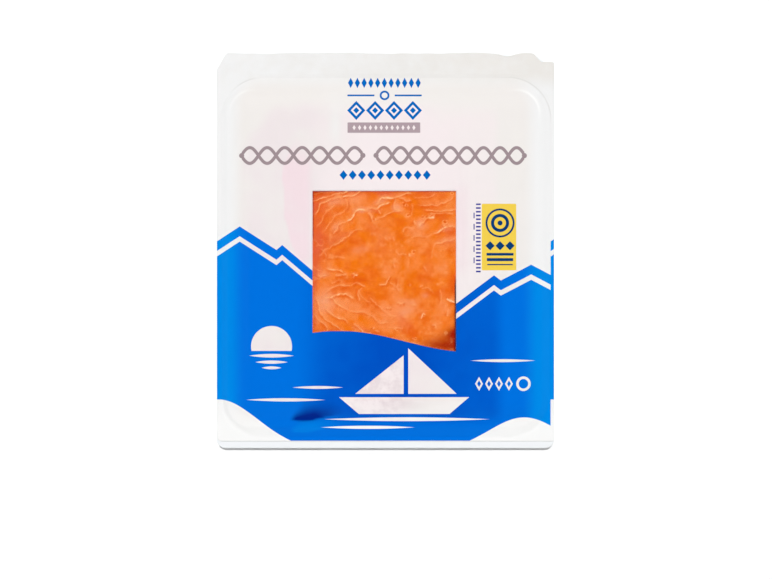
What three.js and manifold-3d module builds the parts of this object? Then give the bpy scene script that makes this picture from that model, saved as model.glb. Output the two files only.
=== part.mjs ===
// A sealed retail pack of sliced smoked salmon, lying on its back with the printed lid up.
// Millimetres. +X is the pack's right, +Y the top edge of the print, +Z up out of the lid.
// The origin is on the ground, under the middle of the pack's outline.
import * as THREE from 'three';
import { mergeVertices } from 'three/addons/utils/BufferGeometryUtils.js';
import Module from 'manifold-3d';

const wasm = await Module();
wasm.setup();

// ---------------------------------------------------------------- driving dimensions
const PACK_WIDTH = 190;
const PACK_LENGTH = 223;
const GAP = 0.3; // clearance between neighbouring pieces

const TRAY_WALL = 0.8;
const TRAY_DEPTH = 8.6; // ground to the top of the flange
const TRAY_DRAFT = 3; // how far the side walls lean in towards the floor
const TRAY_FILLET = 1.6; // at the mouth and round the floor

const LID_THICKNESS = 0.5;
const LID_END_STRIP = 3.9; // bare tray flange below the lid's cut edge
const LID_CROWN_RISE = 3; // flange to crown
const LID_EDGE_SHARE = 0.45; // of that rise, up to the crown's edge; the rest is a soft shoulder
const LID_SHOULDER_START = 3; // outside the crown's edge
const LID_SHOULDER_WIDTH = 17;
const LID_FILLED_RISE = 0.6; // what the salmon adds to the crown
const LID_GROOVE_DEPTH = 0.25; // at the foot of the rise
const LID_GROOVE_WIDTH = 1.1;
const LID_FADE = 5; // from the crown's edge to its full relief
const FILLED_FADE = 8; // width of the soft step round the salmon

// The top edge wanders by this depth, in two waves that share it.
const TOP_WAVE_DEPTH = 0.7;
const TOP_WAVES = [
  { share: 0.3, length: 82, phase: 0.6 },
  { share: 0.2, length: 33, phase: 2 },
];

const BOARD_THICKNESS = 1;
const PILE_THICKNESS = 4.5;
const MIDDLE_THICKNESS = 2.4;
const SLICE_CLEARANCE = 0.4; // under the lid, whose facets differ from the slice's

// Rounded rectangles: edges, and radii in the order bottom right, top right, top left, bottom left.
const HALF_WIDTH = PACK_WIDTH / 2;
const HALF_LENGTH = PACK_LENGTH / 2;
const TRAY_OUTLINE = {
  left: -HALF_WIDTH,
  right: HALF_WIDTH,
  bottom: -HALF_LENGTH,
  top: HALF_LENGTH,
  radii: [4, 4, 6, 4],
};
const LID_OUTLINE = { ...TRAY_OUTLINE, bottom: -HALF_LENGTH + LID_END_STRIP, radii: [0.8, 4, 6, 2.4] };
const RIM = { left: -92.8, right: 93.2, bottom: -105.2, top: 97.6, radii: [24, 24, 24, 24] };
const CROWN = { left: -88.4, right: 87.4, bottom: -99, top: 91, radii: [13.5, 13.5, 13.5, 13.5] };
const MOUTH = { left: -91, right: 91.4, bottom: -104.2, top: 96.2, radii: [22, 22, 22, 22] };
const BOARD = { left: -84.8, right: 79, bottom: -98.6, top: 90, radii: [15, 15, 15, 15] };
const FILLED = { left: -58, right: 48, bottom: -93, top: 90, radii: [16, 16, 16, 16] };

// The clear window. Its lower edge sinks to the right in one soft step.
const WINDOW = { left: -41.1, right: 39.8, top: 33.5, bottomLeft: -45.8, bottomRight: -57.4 };
const WINDOW_STEP = { from: -24, to: 46 };

// The slices: middle, half width and length of a squarish oval, and the lobes round its edge.
const PILE = { x: -18.2, y: -2.5, size: [64.5, 89], squareness: 4.6, lobe: 0.018, turn: 0.4 };
const MIDDLE = { x: -5.8, y: -1.8, size: [52.4, 91.4], squareness: 5.5, lobe: 0.014, turn: 1.9 };
const TOP = { x: -1.2, y: -1.8, size: [48.8, 92], squareness: 5, lobe: 0.02, turn: 3.1 };
const SWELL = 0.1; // of the blocks of muscle on the upper slice

// A slice's rounded edge, from its upper face to its lower: share of the outline, and height.
const SLICE_EDGE = [
  { share: 0.985, height: 0.82 },
  { share: 1, height: 0.5 },
  { share: 0.985, height: 0.18 },
];
const SLICE_RIM = 0.96; // share of the outline where the edge starts to round

// Two soft folds pressed into the lid near its lower edge, from one end to the other.
const FOLDS = [
  { from: [-54, -91.5], to: [-22, -87.5], width: 3.4, depth: 0.7 },
  { from: [-2, -86], to: [26, -88.5], width: 4.2, depth: 0.5 },
];

// The lid's rings: across the crown from its middle, down the rise, and out over the flange.
const CROWN_SHARES = [0.15, 0.3, 0.45, 0.6, 0.72, 0.82, 0.9, 0.96];
const RISE_SHARES = [1, 0.82, 0.62, 0.4, 0.2, 0.08, 0];
const FLANGE_SHARES = [0.08, 0.5, 1];

const CORNER_STEPS = 8;
const SIDE_STEPS = 10;
const FILLET_STEPS = 2;
const SLICE_POINTS = 56;
const WINDOW_STEPS = 12;

// ---------------------------------------------------------------- levels
const LID_FLANGE_Z = TRAY_DEPTH + GAP + LID_GROOVE_DEPTH + LID_THICKNESS; // upper face of its flange
const BOARD_Z = TRAY_WALL + GAP;
const PILE_Z = BOARD_Z + BOARD_THICKNESS + GAP;
const MIDDLE_Z = PILE_Z + PILE_THICKNESS + GAP;
const TOP_Z = MIDDLE_Z + MIDDLE_THICKNESS + GAP;

// ---------------------------------------------------------------- plane curves
function smooth(t) {
  const s = THREE.MathUtils.clamp(t, 0, 1);
  return s * s * (3 - 2 * s);
}

// Points of a rounded rectangle, anticlockwise from the right side's lower end.
// Every ring has the same count, so that rings of different shapes can be joined.
function roundedRing(box) {
  const [br, tr, tl, bl] = box.radii;
  const corners = [
    { x: box.right - tr, y: box.top - tr, r: tr, start: 0 },
    { x: box.left + tl, y: box.top - tl, r: tl, start: Math.PI / 2 },
    { x: box.left + bl, y: box.bottom + bl, r: bl, start: Math.PI },
    { x: box.right - br, y: box.bottom + br, r: br, start: (3 * Math.PI) / 2 },
  ];
  const onArc = (corner, step) => {
    const angle = corner.start + (step / CORNER_STEPS) * (Math.PI / 2);
    return new THREE.Vector2(corner.x + corner.r * Math.cos(angle), corner.y + corner.r * Math.sin(angle));
  };
  const points = [];
  corners.forEach((corner, index) => {
    const before = corners[(index + 3) % 4];
    const start = onArc(before, CORNER_STEPS);
    const end = onArc(corner, 0);
    for (let step = 0; step < SIDE_STEPS; step += 1) {
      points.push(start.clone().lerp(end, step / SIDE_STEPS));
    }
    for (let step = 0; step < CORNER_STEPS; step += 1) {
      points.push(onArc(corner, step));
    }
  });
  return points;
}

// The top edge of the soft flange isn't quite straight.
function wanderingTop(point) {
  const share = smooth((point.y - RIM.top) / (HALF_LENGTH - RIM.top));
  let wave = 0.5;
  for (const { share: part, length, phase } of TOP_WAVES) {
    wave += part * Math.sin((2 * Math.PI * point.x) / length + phase);
  }
  return new THREE.Vector2(point.x, point.y - share * TOP_WAVE_DEPTH * wave);
}

function insetBox(box, by) {
  const radii = box.radii.map((r) => Math.max(r - by, 0.5));
  return { left: box.left + by, right: box.right - by, bottom: box.bottom + by, top: box.top - by, radii };
}

function blendRings(a, b, share) {
  return a.map((point, i) => point.clone().lerp(b[i], share));
}

function shrinkRing(ring, centre, share) {
  return ring.map((point) => centre.clone().lerp(point, share));
}

function lobedRing(slice) {
  const points = [];
  for (let i = 0; i < SLICE_POINTS; i += 1) {
    const angle = (i / SLICE_POINTS) * 2 * Math.PI;
    const square = (value) => Math.sign(value) * Math.abs(value) ** (2 / slice.squareness);
    const lobes = Math.sin(3 * angle + slice.turn) + 0.6 * Math.sin(7 * angle + 2 * slice.turn);
    const scale = 1 + slice.lobe * (lobes - 1.2);
    const x = slice.x + slice.size[0] * square(Math.cos(angle)) * scale;
    const y = slice.y + slice.size[1] * square(Math.sin(angle)) * scale;
    points.push(new THREE.Vector2(x, y));
  }
  return points;
}

// How far a point is inside a rounded rectangle whose corners are all alike.
function insideDistance(box, x, y) {
  const r = box.radii[0];
  const qx = Math.abs(x - (box.left + box.right) / 2) - ((box.right - box.left) / 2 - r);
  const qy = Math.abs(y - (box.bottom + box.top) / 2) - ((box.top - box.bottom) / 2 - r);
  return r - Math.hypot(Math.max(qx, 0), Math.max(qy, 0)) - Math.min(Math.max(qx, qy), 0);
}

// ---------------------------------------------------------------- the lid's relief
function foldDepth(x, y) {
  let depth = 0;
  for (const fold of FOLDS) {
    const along = new THREE.Line3(
      new THREE.Vector3(...fold.from, 0),
      new THREE.Vector3(...fold.to, 0),
    );
    const here = new THREE.Vector3(x, y, 0);
    const away = along.closestPointToPoint(here, true, new THREE.Vector3()).distanceTo(here);
    depth += fold.depth * Math.exp(-((away / fold.width) ** 2));
  }
  return depth;
}

// Height of the lid's upper face: flange, groove, rise, crown, and what lies under it.
function lidHeight(x, y) {
  const fromRim = insideDistance(RIM, x, y);
  const fromCrown = insideDistance(CROWN, x, y);
  const groove = LID_GROOVE_DEPTH * Math.exp(-((fromRim / LID_GROOVE_WIDTH) ** 2));
  if (fromRim <= 0) {
    return LID_FLANGE_Z - groove;
  }
  const edge = fromCrown < 0 ? smooth(fromRim / (fromRim - fromCrown)) : 1;
  const shoulder = smooth((fromCrown + LID_SHOULDER_START) / LID_SHOULDER_WIDTH);
  const rise = LID_CROWN_RISE * (LID_EDGE_SHARE * edge + (1 - LID_EDGE_SHARE) * shoulder);
  const filled = smooth(insideDistance(FILLED, x, y) / FILLED_FADE + 0.5);
  const inner = smooth(fromCrown / LID_FADE);
  return LID_FLANGE_Z - groove + rise + inner * (LID_FILLED_RISE * filled - foldDepth(x, y));
}

// ---------------------------------------------------------------- solids
// Joins rings into one closed body, from the pole in the first ring to the pole in the last.
// Rings run anticlockwise seen from above, and go out over the top and back in underneath.
function loft(rings, firstPole, lastPole) {
  const count = rings[0].length;
  const positions = [];
  const indices = [];
  rings.forEach((ring) => ring.forEach((p) => positions.push(p.x, p.y, p.z)));
  positions.push(firstPole.x, firstPole.y, firstPole.z, lastPole.x, lastPole.y, lastPole.z);
  const first = rings.length * count;
  const last = first + 1;
  const lastRing = (rings.length - 1) * count;
  for (let i = 0; i < count; i += 1) {
    const next = (i + 1) % count;
    indices.push(first, i, next);
    indices.push(last, lastRing + next, lastRing + i);
    for (let k = 0; k < rings.length - 1; k += 1) {
      const inner = k * count;
      const outer = inner + count;
      indices.push(inner + i, outer + i, outer + next);
      indices.push(inner + i, outer + next, inner + next);
    }
  }
  const geometry = new THREE.BufferGeometry();
  geometry.setAttribute('position', new THREE.Float32BufferAttribute(positions, 3));
  geometry.setIndex(indices);
  return geometry;
}

function atHeight(ring, z) {
  return ring.map((point) => new THREE.Vector3(point.x, point.y, z));
}

function onLid(ring, below) {
  return ring.map((point) => new THREE.Vector3(point.x, point.y, lidHeight(point.x, point.y) - below));
}

function toSolid(geometry) {
  const bare = new THREE.BufferGeometry();
  bare.setAttribute('position', geometry.getAttribute('position').clone());
  if (geometry.index) {
    bare.setIndex(geometry.index.clone());
  }
  const merged = mergeVertices(bare, 1e-4);
  const vertProperties = new Float32Array(merged.getAttribute('position').array);
  const triVerts = new Uint32Array(merged.index.array);
  return new wasm.Manifold(new wasm.Mesh({ numProp: 3, vertProperties, triVerts }));
}

function fromSolid(solid) {
  const mesh = solid.getMesh();
  const geometry = new THREE.BufferGeometry();
  geometry.setAttribute('position', new THREE.BufferAttribute(new Float32Array(mesh.vertProperties), 3));
  geometry.setIndex(new THREE.BufferAttribute(new Uint32Array(mesh.triVerts), 1));
  return geometry;
}

function finished(geometry, name, look) {
  geometry.computeVertexNormals();
  const mesh = new THREE.Mesh(geometry, new THREE.MeshStandardMaterial({ flatShading: true, ...look }));
  mesh.name = name;
  return mesh;
}

// ---------------------------------------------------------------- tray
// White thermoformed tray: flat floor, leaning walls with round corners, flat flange.
function makeTray() {
  const outline = roundedRing(TRAY_OUTLINE).map(wanderingTop);
  // Rings of one face, from the floor to the flange's edge. The lift is 0 on the outer face and
  // the wall's thickness on the inner one, which stands that much further in.
  const rings = (lift) => {
    const flange = TRAY_DEPTH - TRAY_WALL + lift;
    const shift = TRAY_WALL - lift;
    const ringAt = (inset, z) => atHeight(roundedRing(insetBox(MOUTH, inset - shift)), z);
    const turns = [];
    for (let step = 0; step <= FILLET_STEPS; step += 1) {
      turns.push((step / FILLET_STEPS) * (Math.PI / 2));
    }
    const foot = turns.map((turn) => ringAt(
      TRAY_DRAFT + TRAY_FILLET * (1 - Math.sin(turn)),
      lift + TRAY_FILLET * (1 - Math.cos(turn)),
    ));
    const mouth = turns.map((turn) => ringAt(
      TRAY_FILLET * (Math.cos(turn) - 1),
      flange + TRAY_FILLET * (Math.sin(turn) - 1),
    ));
    return [...foot, ...mouth, atHeight(outline, flange)];
  };
  const upper = rings(TRAY_WALL);
  const lower = rings(0).reverse();
  const middle = new THREE.Vector2((MOUTH.left + MOUTH.right) / 2, (MOUTH.bottom + MOUTH.top) / 2);
  const poleAt = (z) => new THREE.Vector3(middle.x, middle.y, z);
  return loft([...upper, ...lower], poleAt(TRAY_WALL), poleAt(0));
}

// ---------------------------------------------------------------- board
function makeBoard() {
  const ring = roundedRing(BOARD);
  const top = BOARD_Z + BOARD_THICKNESS;
  const centre = new THREE.Vector3((BOARD.left + BOARD.right) / 2, (BOARD.bottom + BOARD.top) / 2, top);
  const under = new THREE.Vector3(centre.x, centre.y, BOARD_Z);
  return loft([atHeight(ring, top), atHeight(ring, BOARD_Z)], centre, under);
}

// ---------------------------------------------------------------- salmon
// A slab with a lobed outline and a rounded edge between two surfaces. The steps are the
// shares of the outline at which its upper face has a ring, from the middle outwards.
function makeSlab(slice, lowerAt, upperAt, steps) {
  const outline = lobedRing(slice);
  const centre = new THREE.Vector2(slice.x, slice.y);
  const place = (share, surface) => shrinkRing(outline, centre, share).map(surface);
  const over = [...steps, SLICE_RIM].map((share) => place(share, upperAt));
  const between = (height) => (p) => lowerAt(p).lerp(upperAt(p), height);
  const sides = SLICE_EDGE.map(({ share, height }) => place(share, between(height)));
  const under = place(SLICE_RIM, lowerAt);
  return loft([...over, ...sides, under], upperAt(centre), lowerAt(centre));
}

// The blocks of muscle swell a little on the upper slice.
function swell(x, y) {
  return SWELL * (Math.sin(x / 9 + y / 15) * Math.sin(y / 12 - x / 20) - 1);
}

function level(z) {
  return (p) => new THREE.Vector3(p.x, p.y, z);
}

function makeFlatSlice(slice, z, thickness) {
  return makeSlab(slice, level(z), level(z + thickness), []);
}

function makeTopSlice() {
  const below = LID_THICKNESS + SLICE_CLEARANCE;
  const high = (p) => new THREE.Vector3(p.x, p.y, lidHeight(p.x, p.y) - below + swell(p.x, p.y));
  return makeSlab(TOP, level(TOP_Z), high, [0.2, 0.4, 0.6, 0.78, 0.9]);
}

// ---------------------------------------------------------------- lid and its window
function makeWholeLid() {
  const outline = roundedRing(LID_OUTLINE).map(wanderingTop);
  const rim = roundedRing(RIM);
  const crown = roundedRing(CROWN);
  const centre = new THREE.Vector2((CROWN.left + CROWN.right) / 2, (CROWN.bottom + CROWN.top) / 2);
  const plan = [
    ...CROWN_SHARES.map((share) => shrinkRing(crown, centre, share)),
    ...RISE_SHARES.map((share) => blendRings(rim, crown, share)),
    ...FLANGE_SHARES.map((share) => blendRings(rim, outline, share)),
  ];
  const upper = plan.map((ring) => onLid(ring, 0));
  const lower = plan.map((ring) => onLid(ring, LID_THICKNESS)).reverse();
  const pole = onLid([centre], 0)[0];
  const under = onLid([centre], LID_THICKNESS)[0];
  return toSolid(loft([...upper, ...lower], pole, under));
}

// A tall block with the window's outline, grown outwards by a margin.
function windowBlock(margin) {
  const shape = new THREE.Shape();
  const left = WINDOW.left - margin;
  const right = WINDOW.right + margin;
  shape.moveTo(right, WINDOW.top + margin);
  shape.lineTo(left, WINDOW.top + margin);
  for (let step = 0; step <= WINDOW_STEPS; step += 1) {
    const x = left + ((right - left) * step) / WINDOW_STEPS;
    const sunk = smooth((x - WINDOW_STEP.from) / (WINDOW_STEP.to - WINDOW_STEP.from));
    const y = WINDOW.bottomLeft + (WINDOW.bottomRight - WINDOW.bottomLeft) * sunk;
    shape.lineTo(x, y - margin);
  }
  const depth = 2 * LID_FLANGE_Z;
  return toSolid(new THREE.ExtrudeGeometry(shape, { depth, bevelEnabled: false }));
}

// ---------------------------------------------------------------- the pack
const pack = new THREE.Group();
const wholeLid = makeWholeLid();
const lidFilm = fromSolid(wholeLid.subtract(windowBlock(GAP / 2)));
const lidWindow = fromSolid(wholeLid.intersect(windowBlock(-GAP / 2)));

pack.add(finished(makeTray(), 'tray', { color: 0xf4f5f6, roughness: 0.45, metalness: 0 }));
pack.add(finished(makeBoard(), 'board', { color: 0xe9dfc8, roughness: 0.6, metalness: 0 }));
const pile = makeFlatSlice(PILE, PILE_Z, PILE_THICKNESS);
pack.add(finished(pile, 'salmon_pile', { color: 0xe8763a, roughness: 0.4, metalness: 0 }));
const middle = makeFlatSlice(MIDDLE, MIDDLE_Z, MIDDLE_THICKNESS);
pack.add(finished(middle, 'salmon_slice_middle', { color: 0xf0823c, roughness: 0.4, metalness: 0 }));
pack.add(finished(makeTopSlice(), 'salmon_slice_top', { color: 0xf98a38, roughness: 0.35, metalness: 0 }));
pack.add(finished(lidFilm, 'lid_film', { color: 0x1f86d8, roughness: 0.3, metalness: 0 }));
const clear = { color: 0xffffff, roughness: 0.08, metalness: 0, transparent: true, opacity: 0.2 };
pack.add(finished(lidWindow, 'lid_window', clear));

export default pack;
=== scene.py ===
"""A sealed pack of sliced smoked salmon, lying on its back: tray, card, slices, printed lid, window."""

from collections import namedtuple
from functools import reduce
from math import pi, radians
from operator import and_, or_

import bpy
import numpy as np
from bpy.props import FloatProperty, FloatVectorProperty, PointerProperty
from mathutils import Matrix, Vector


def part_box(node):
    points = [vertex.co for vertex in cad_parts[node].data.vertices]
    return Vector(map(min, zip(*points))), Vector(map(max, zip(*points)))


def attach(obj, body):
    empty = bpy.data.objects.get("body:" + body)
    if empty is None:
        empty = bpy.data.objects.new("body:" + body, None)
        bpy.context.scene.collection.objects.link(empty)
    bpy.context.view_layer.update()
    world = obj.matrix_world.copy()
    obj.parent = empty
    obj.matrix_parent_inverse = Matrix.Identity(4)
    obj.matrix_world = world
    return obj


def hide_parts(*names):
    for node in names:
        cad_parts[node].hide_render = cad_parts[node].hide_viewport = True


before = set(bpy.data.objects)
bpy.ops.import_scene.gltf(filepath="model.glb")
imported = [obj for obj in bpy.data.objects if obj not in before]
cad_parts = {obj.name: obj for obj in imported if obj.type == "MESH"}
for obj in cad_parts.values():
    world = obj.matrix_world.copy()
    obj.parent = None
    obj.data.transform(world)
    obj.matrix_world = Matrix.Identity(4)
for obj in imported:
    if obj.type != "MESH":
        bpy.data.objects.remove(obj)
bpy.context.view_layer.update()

bl_info = {
    "name": "Smoked Salmon Pack",
    "version": (1, 0, 0),
    "blender": (4, 5, 0),
    "location": "View3D > Sidebar > Salmon Pack",
    "description": "Makes a sealed pack of sliced smoked salmon with a printed film lid and a clear window",
    "category": "Object",
}

MM = 0.001  # plan shapes below are written in millimetres and become metres when a mesh is made

# ------------------------------------------------------------------ plan shapes, in millimetres

Rounded = namedtuple("Rounded", "left right bottom top radius")
Slice = namedtuple("Slice", "x y half_width half_length squareness lobe turn")
Band = namedtuple("Band", "low rise high fall")
Cut = namedtuple("Cut", "x width depth")
Dip = namedtuple("Dip", "reach depth")
Fold = namedtuple("Fold", "points above below depth dark")
Spot = namedtuple("Spot", "x y half_width half_height turn strength")
Row = namedtuple("Row", "y start count pitch half_width half_height")
Peak = namedtuple("Peak", "x height slope")
Hill = namedtuple("Hill", "x width height")
Lamp = namedtuple("Lamp", "name azimuth share")

RIM = Rounded(-92.8, 93.2, -105.2, 97.6, 24)  # foot of the lid's rise
CROWN = Rounded(-88.4, 87.4, -99, 91, 13.5)  # upper edge of the rise
MOUTH = Rounded(-91, 91.4, -104.2, 96.2, 22)  # of the tray
CARD_RADIUS = 15
FILLED = Rounded(-58, 48, -93, 90, 16)  # where the full stack lifts the lid

WINDOW_STEP = (-24, 46)  # the window's lower edge sinks to the right between these
WINDOW_DROP = 11.6
WINDOW_DIP = Dip(13, 1.0)  # how the lower edge turns down at its left end

# Soft folds near the lid's lower edge: the line, its width above and below, its depth and the darkness
# of the painted shade in it.
FOLDS = (
    Fold(((-54, -95.4), (-46, -95.4), (-38, -94), (-22, -90.5)), 6.4, 0.9, 0.35, 1.15),
    Fold(((-6, -86.5), (4, -86), (16, -88), (30, -90)), 5.0, 2.6, 0.25, 0.35),
)


def millimetres(node):
    """A node's box, in millimetres."""
    low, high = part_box(node)
    return low / MM, high / MM


def slice_of(node, squareness, lobe, turn):
    """The plan of a slice, filling its node's box."""
    low, high = millimetres(node)
    return Slice(
        (low.x + high.x) / 2, (low.y + high.y) / 2,
        (high.x - low.x) / 2, (high.y - low.y) / 2,
        squareness, lobe, turn,
    )


PILE = slice_of("salmon_pile", 4.6, 0.018, 0.4)
MIDDLE = slice_of("salmon_slice_middle", 5.5, 0.014, 1.9)
TOP = slice_of("salmon_slice_top", 5.0, 0.02, 3.1)


def smooth(value):
    """Eases from 0 to 1, for numbers and arrays."""
    held = np.clip(value, 0, 1)
    return held * held * (3 - 2 * held)


def within(band, value):
    """1 inside a band, easing to 0 towards both of its ends."""
    return smooth((value - band.low) / band.rise) * smooth((band.high - value) / band.fall)


def fading(away, width):
    """1 at no distance, fading over a width."""
    return np.exp(-((away / width) ** 2))


def inside(box, x, y):
    """How far points are inside a rounded rectangle."""
    across = np.abs(x - (box.left + box.right) / 2) - ((box.right - box.left) / 2 - box.radius)
    along = np.abs(y - (box.bottom + box.top) / 2) - ((box.top - box.bottom) / 2 - box.radius)
    outer = np.hypot(np.maximum(across, 0), np.maximum(along, 0))
    return box.radius - outer - np.minimum(np.maximum(across, along), 0)


def lobes(plan, angle):
    """The share by which a slice's outline stands in or out at an angle."""
    wave = np.sin(3 * angle + plan.turn) + 0.6 * np.sin(7 * angle + 2 * plan.turn)
    ragged = 0.35 * np.sin(17 * angle + 3 * plan.turn) + 0.25 * np.sin(29 * angle + plan.turn)
    return 1 + plan.lobe * (wave + ragged - 2)


def inside_slice(plan, x, y):
    """How far points are inside a slice's outline, roughly."""
    across = (x - plan.x) / plan.half_width
    along = (y - plan.y) / plan.half_length
    size = (np.abs(across) ** plan.squareness + np.abs(along) ** plan.squareness) ** (1 / plan.squareness)
    return (lobes(plan, np.arctan2(along, across)) - size) * plan.half_width


class Noise:
    """Smooth repeatable noise over the plane: random heights on a lattice, joined by easing."""

    SPAN = 64

    def __init__(self, pitch, seed):
        self.pitch = pitch
        self.heights = np.random.default_rng(seed).uniform(-1, 1, (self.SPAN, self.SPAN))

    def __call__(self, x, y):
        across, along = x / self.pitch, y / self.pitch
        left, low = np.floor(across).astype(int), np.floor(along).astype(int)
        right_share, high_share = smooth(across - left), smooth(along - low)

        def at(i, j):
            return self.heights[(left + i) % self.SPAN, (low + j) % self.SPAN]

        near = at(0, 0) * (1 - right_share) + at(1, 0) * right_share
        far = at(0, 1) * (1 - right_share) + at(1, 1) * right_share
        return near * (1 - high_share) + far * high_share


def smooth_curve(points, steps=5):
    """A smooth curve through points, as many short straight ones."""
    points = np.array(points, dtype=float)
    held = np.concatenate([points[:1], points, points[-1:]])
    share = np.linspace(0, 1, steps, endpoint=False)[:, None]
    parts = []
    for before, start, end, after in zip(held, held[1:], held[2:], held[3:]):
        linear, square = (end - before) / 2, before - 2.5 * start + 2 * end - 0.5 * after
        cube = 1.5 * (start - end) + (after - before) / 2
        parts.append(start + linear * share + square * share ** 2 + cube * share ** 3)
    return np.concatenate([*parts, points[-1:]])


def from_curve(curve, x, y):
    """Distance of points from a curve, how far along it they are, from 0 to 1, and on which side.

    The side is 1 to the left of the curve's way and -1 to its right."""
    nearest, along, side = np.full(x.shape, np.inf), np.zeros(x.shape), np.zeros(x.shape)
    last = len(curve) - 1
    for index, (start, end) in enumerate(zip(curve, curve[1:])):
        run = end - start
        share = np.clip(((x - start[0]) * run[0] + (y - start[1]) * run[1]) / max(run @ run, 1e-9), 0, 1)
        away = np.hypot(x - start[0] - share * run[0], y - start[1] - share * run[1])
        closer = away < nearest
        turn = np.sign(run[0] * (y - start[1]) - run[1] * (x - start[0]))
        nearest = np.where(closer, away, nearest)
        along = np.where(closer, (index + share) / last, along)
        side = np.where(closer, turn, side)
    return nearest, along, side


def window_foot(x):
    """Height of the window's lower edge across the pack."""
    low = millimetres("lid_window")[0]
    start, end = WINDOW_STEP
    dip = np.clip((low.x + WINDOW_DIP.reach - x) / WINDOW_DIP.reach, 0, 1) ** 2
    return low.y + WINDOW_DROP * (1 - smooth((x - start) / (end - start))) - WINDOW_DIP.depth * dip


# ------------------------------------------------------------------ settings


def ink(red, green, blue):
    """A colour given as a screen shows it, as the linear numbers that shaders take."""
    shares = [channel / 255 for channel in (red, green, blue)]
    return tuple(
        share / 12.92 if share <= 0.04045 else ((share + 0.055) / 1.055) ** 2.4 for share in shares
    )


def length(name, description, default):
    return FloatProperty(name=name, description=description, default=default, min=0, unit="LENGTH")


def position(name, description, default):
    return FloatProperty(name=name, description=description, default=default, unit="LENGTH")


def amount(name, description, default):
    return FloatProperty(name=name, description=description, default=default, min=0)


def colour(name, description, default):
    return FloatVectorProperty(
        name=name, description=description, default=default, size=3, min=0, max=1, subtype="COLOR"
    )


class SalmonPackSizes(bpy.types.PropertyGroup):
    """Sizes of the pack's pieces."""

    tray_wall: length("Tray wall", "Thickness of the tray's sheet", 0.0008)
    tray_draft: length("Tray draft", "How far the tray's walls lean in towards the floor", 0.003)
    tray_fillet: length("Tray fillet", "Radius at the tray's mouth and round its floor", 0.0016)
    film: length("Film", "Thickness of the lid's film", 0.0003)
    filled_rise: length("Filled rise", "What the full stack adds to the crown", 0.0006)
    groove: length("Groove", "Depth of the pressed line at the foot of the rise", 0.00022)
    crumple: length("Crumple", "Height of the soft waves in the upper flange", 0.0007)
    segment: length("Segment", "Spacing of the pale lines in the flesh", 0.0093)
    flesh_grid: length("Flesh grid", "Spacing of the mesh that carries the flesh's streaks", 0.00034)


class SalmonPackColours(bpy.types.PropertyGroup):
    """Colours of the pack's pieces."""

    white: colour("White print", "White ink over the bare tray", ink(228, 228, 228))
    white_card: colour("White over card", "White ink where the card lies under it", ink(226, 222, 219))
    white_pile: colour("White over the pile", "White ink where fish lies well below it", ink(225, 216, 217))
    white_stack: colour("White over the stack", "White ink over the full stack of fish", ink(231, 221, 222))
    white_wet: colour("White over wet fish", "White ink where the film clings to fish", ink(229, 210, 215))
    # Painted shade: the grey blotches of the upper flange.
    flange_shade_white: colour("Sealed white", "White ink where the film is sealed to the tray", ink(221, 218, 214))
    # Painted light: the highlight along the crown's upper corners and the lighter lower rise.
    painted_light_white: colour("Stretched white", "White of the film where it is stretched", ink(246, 246, 244))
    blue: colour("Blue print", "Blue ink over the bare tray", ink(0, 129, 217))
    blue_card: colour("Blue over card", "Blue ink where the card lies under it", ink(0, 106, 210))
    blue_stack: colour("Blue over the stack", "Blue ink over the full stack of fish", ink(0, 75, 183))
    blue_wet: colour("Blue over wet fish", "Blue ink where the film clings to fish", ink(0, 116, 216))
    # Painted shade in the folds and in the wrinkles over the lower stack.
    fold_shade_white: colour("White in a crease", "White ink in folds and wrinkles", ink(190, 172, 178))
    # Painted shade: the grey line round the rise's foot and along the film's cut edge.
    shade_grey: colour("Scuff", "Grey of pressed lines in the film", ink(186, 184, 180))
    # Painted shade: the blue darkened in the deep folds.
    fold_shade: colour("Crease", "Blue ink in a deep fold", ink(0, 36, 130))
    ornament: colour("Ornaments", "Blue of the small ornaments", ink(0, 96, 178))
    tally: colour("Tally", "Blue of the column of short strokes", ink(52, 52, 140))
    navy: colour("Label marks", "Dark blue of the marks on the label", ink(8, 56, 108))
    grey: colour("Braid", "Grey of the braid", ink(150, 134, 138))
    bar: colour("Bar", "Grey of the plain bar", ink(166, 148, 154))
    yellow: colour("Label", "Yellow of the small label", ink(229, 196, 76))
    orange: colour("Flesh", "Main colour of the flesh", ink(241, 121, 14))
    # Also painted light on the left of the streaks.
    peach: colour("Pale flesh", "Paler, pinker flesh", ink(244, 143, 86))
    # Also painted shade beside the streaks, in the bubbles and under the window's top edge.
    ember: colour("Deep flesh", "Deeper, redder flesh", ink(228, 92, 14))
    gold: colour("Golden flesh", "Flesh with oil on it", ink(237, 115, 4))
    rose: colour("Rosy flesh", "Flesh under a thicker film of water", ink(224, 94, 56))
    # Also painted shadow of the print's edge along the window's left, top and right.
    brown: colour("Dark flesh", "Dark flesh at the slice's corner", ink(160, 24, 0))
    # Painted shadow of the print's edge along the window's lower right.
    seam: colour("Seam", "Where the print's lower right edge lies against the flesh", ink(54, 16, 34))
    # Also the bubbles' painted highlights.
    fat: colour("Fat", "Pale streaks between the blocks of muscle", ink(252, 172, 106))
    milk: colour("Milky flesh", "Flesh under a clouded film of water", ink(240, 170, 134))
    glint: colour("Bright fat", "The brightest of the pale streaks", ink(255, 214, 176))
    tray: colour("Tray", "White of the tray's sheet", ink(232, 235, 237))
    tray_drawn: colour("Drawn tray", "White of the sheet where it was drawn thin", ink(232, 234, 238))
    card: colour("Card", "Cream face of the card", ink(230, 220, 196))
    card_cloud: colour("Clouded card", "Darker patches of the card's face", ink(222, 210, 182))
    pulp: colour("Pulp", "Grey of the card's cut edge", ink(176, 168, 150))
    pulp_pale: colour("Pale pulp", "Paler fibres of the card's cut edge", ink(204, 196, 178))
    floor: colour("Floor", "Pale floor", ink(244, 244, 244))


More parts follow.
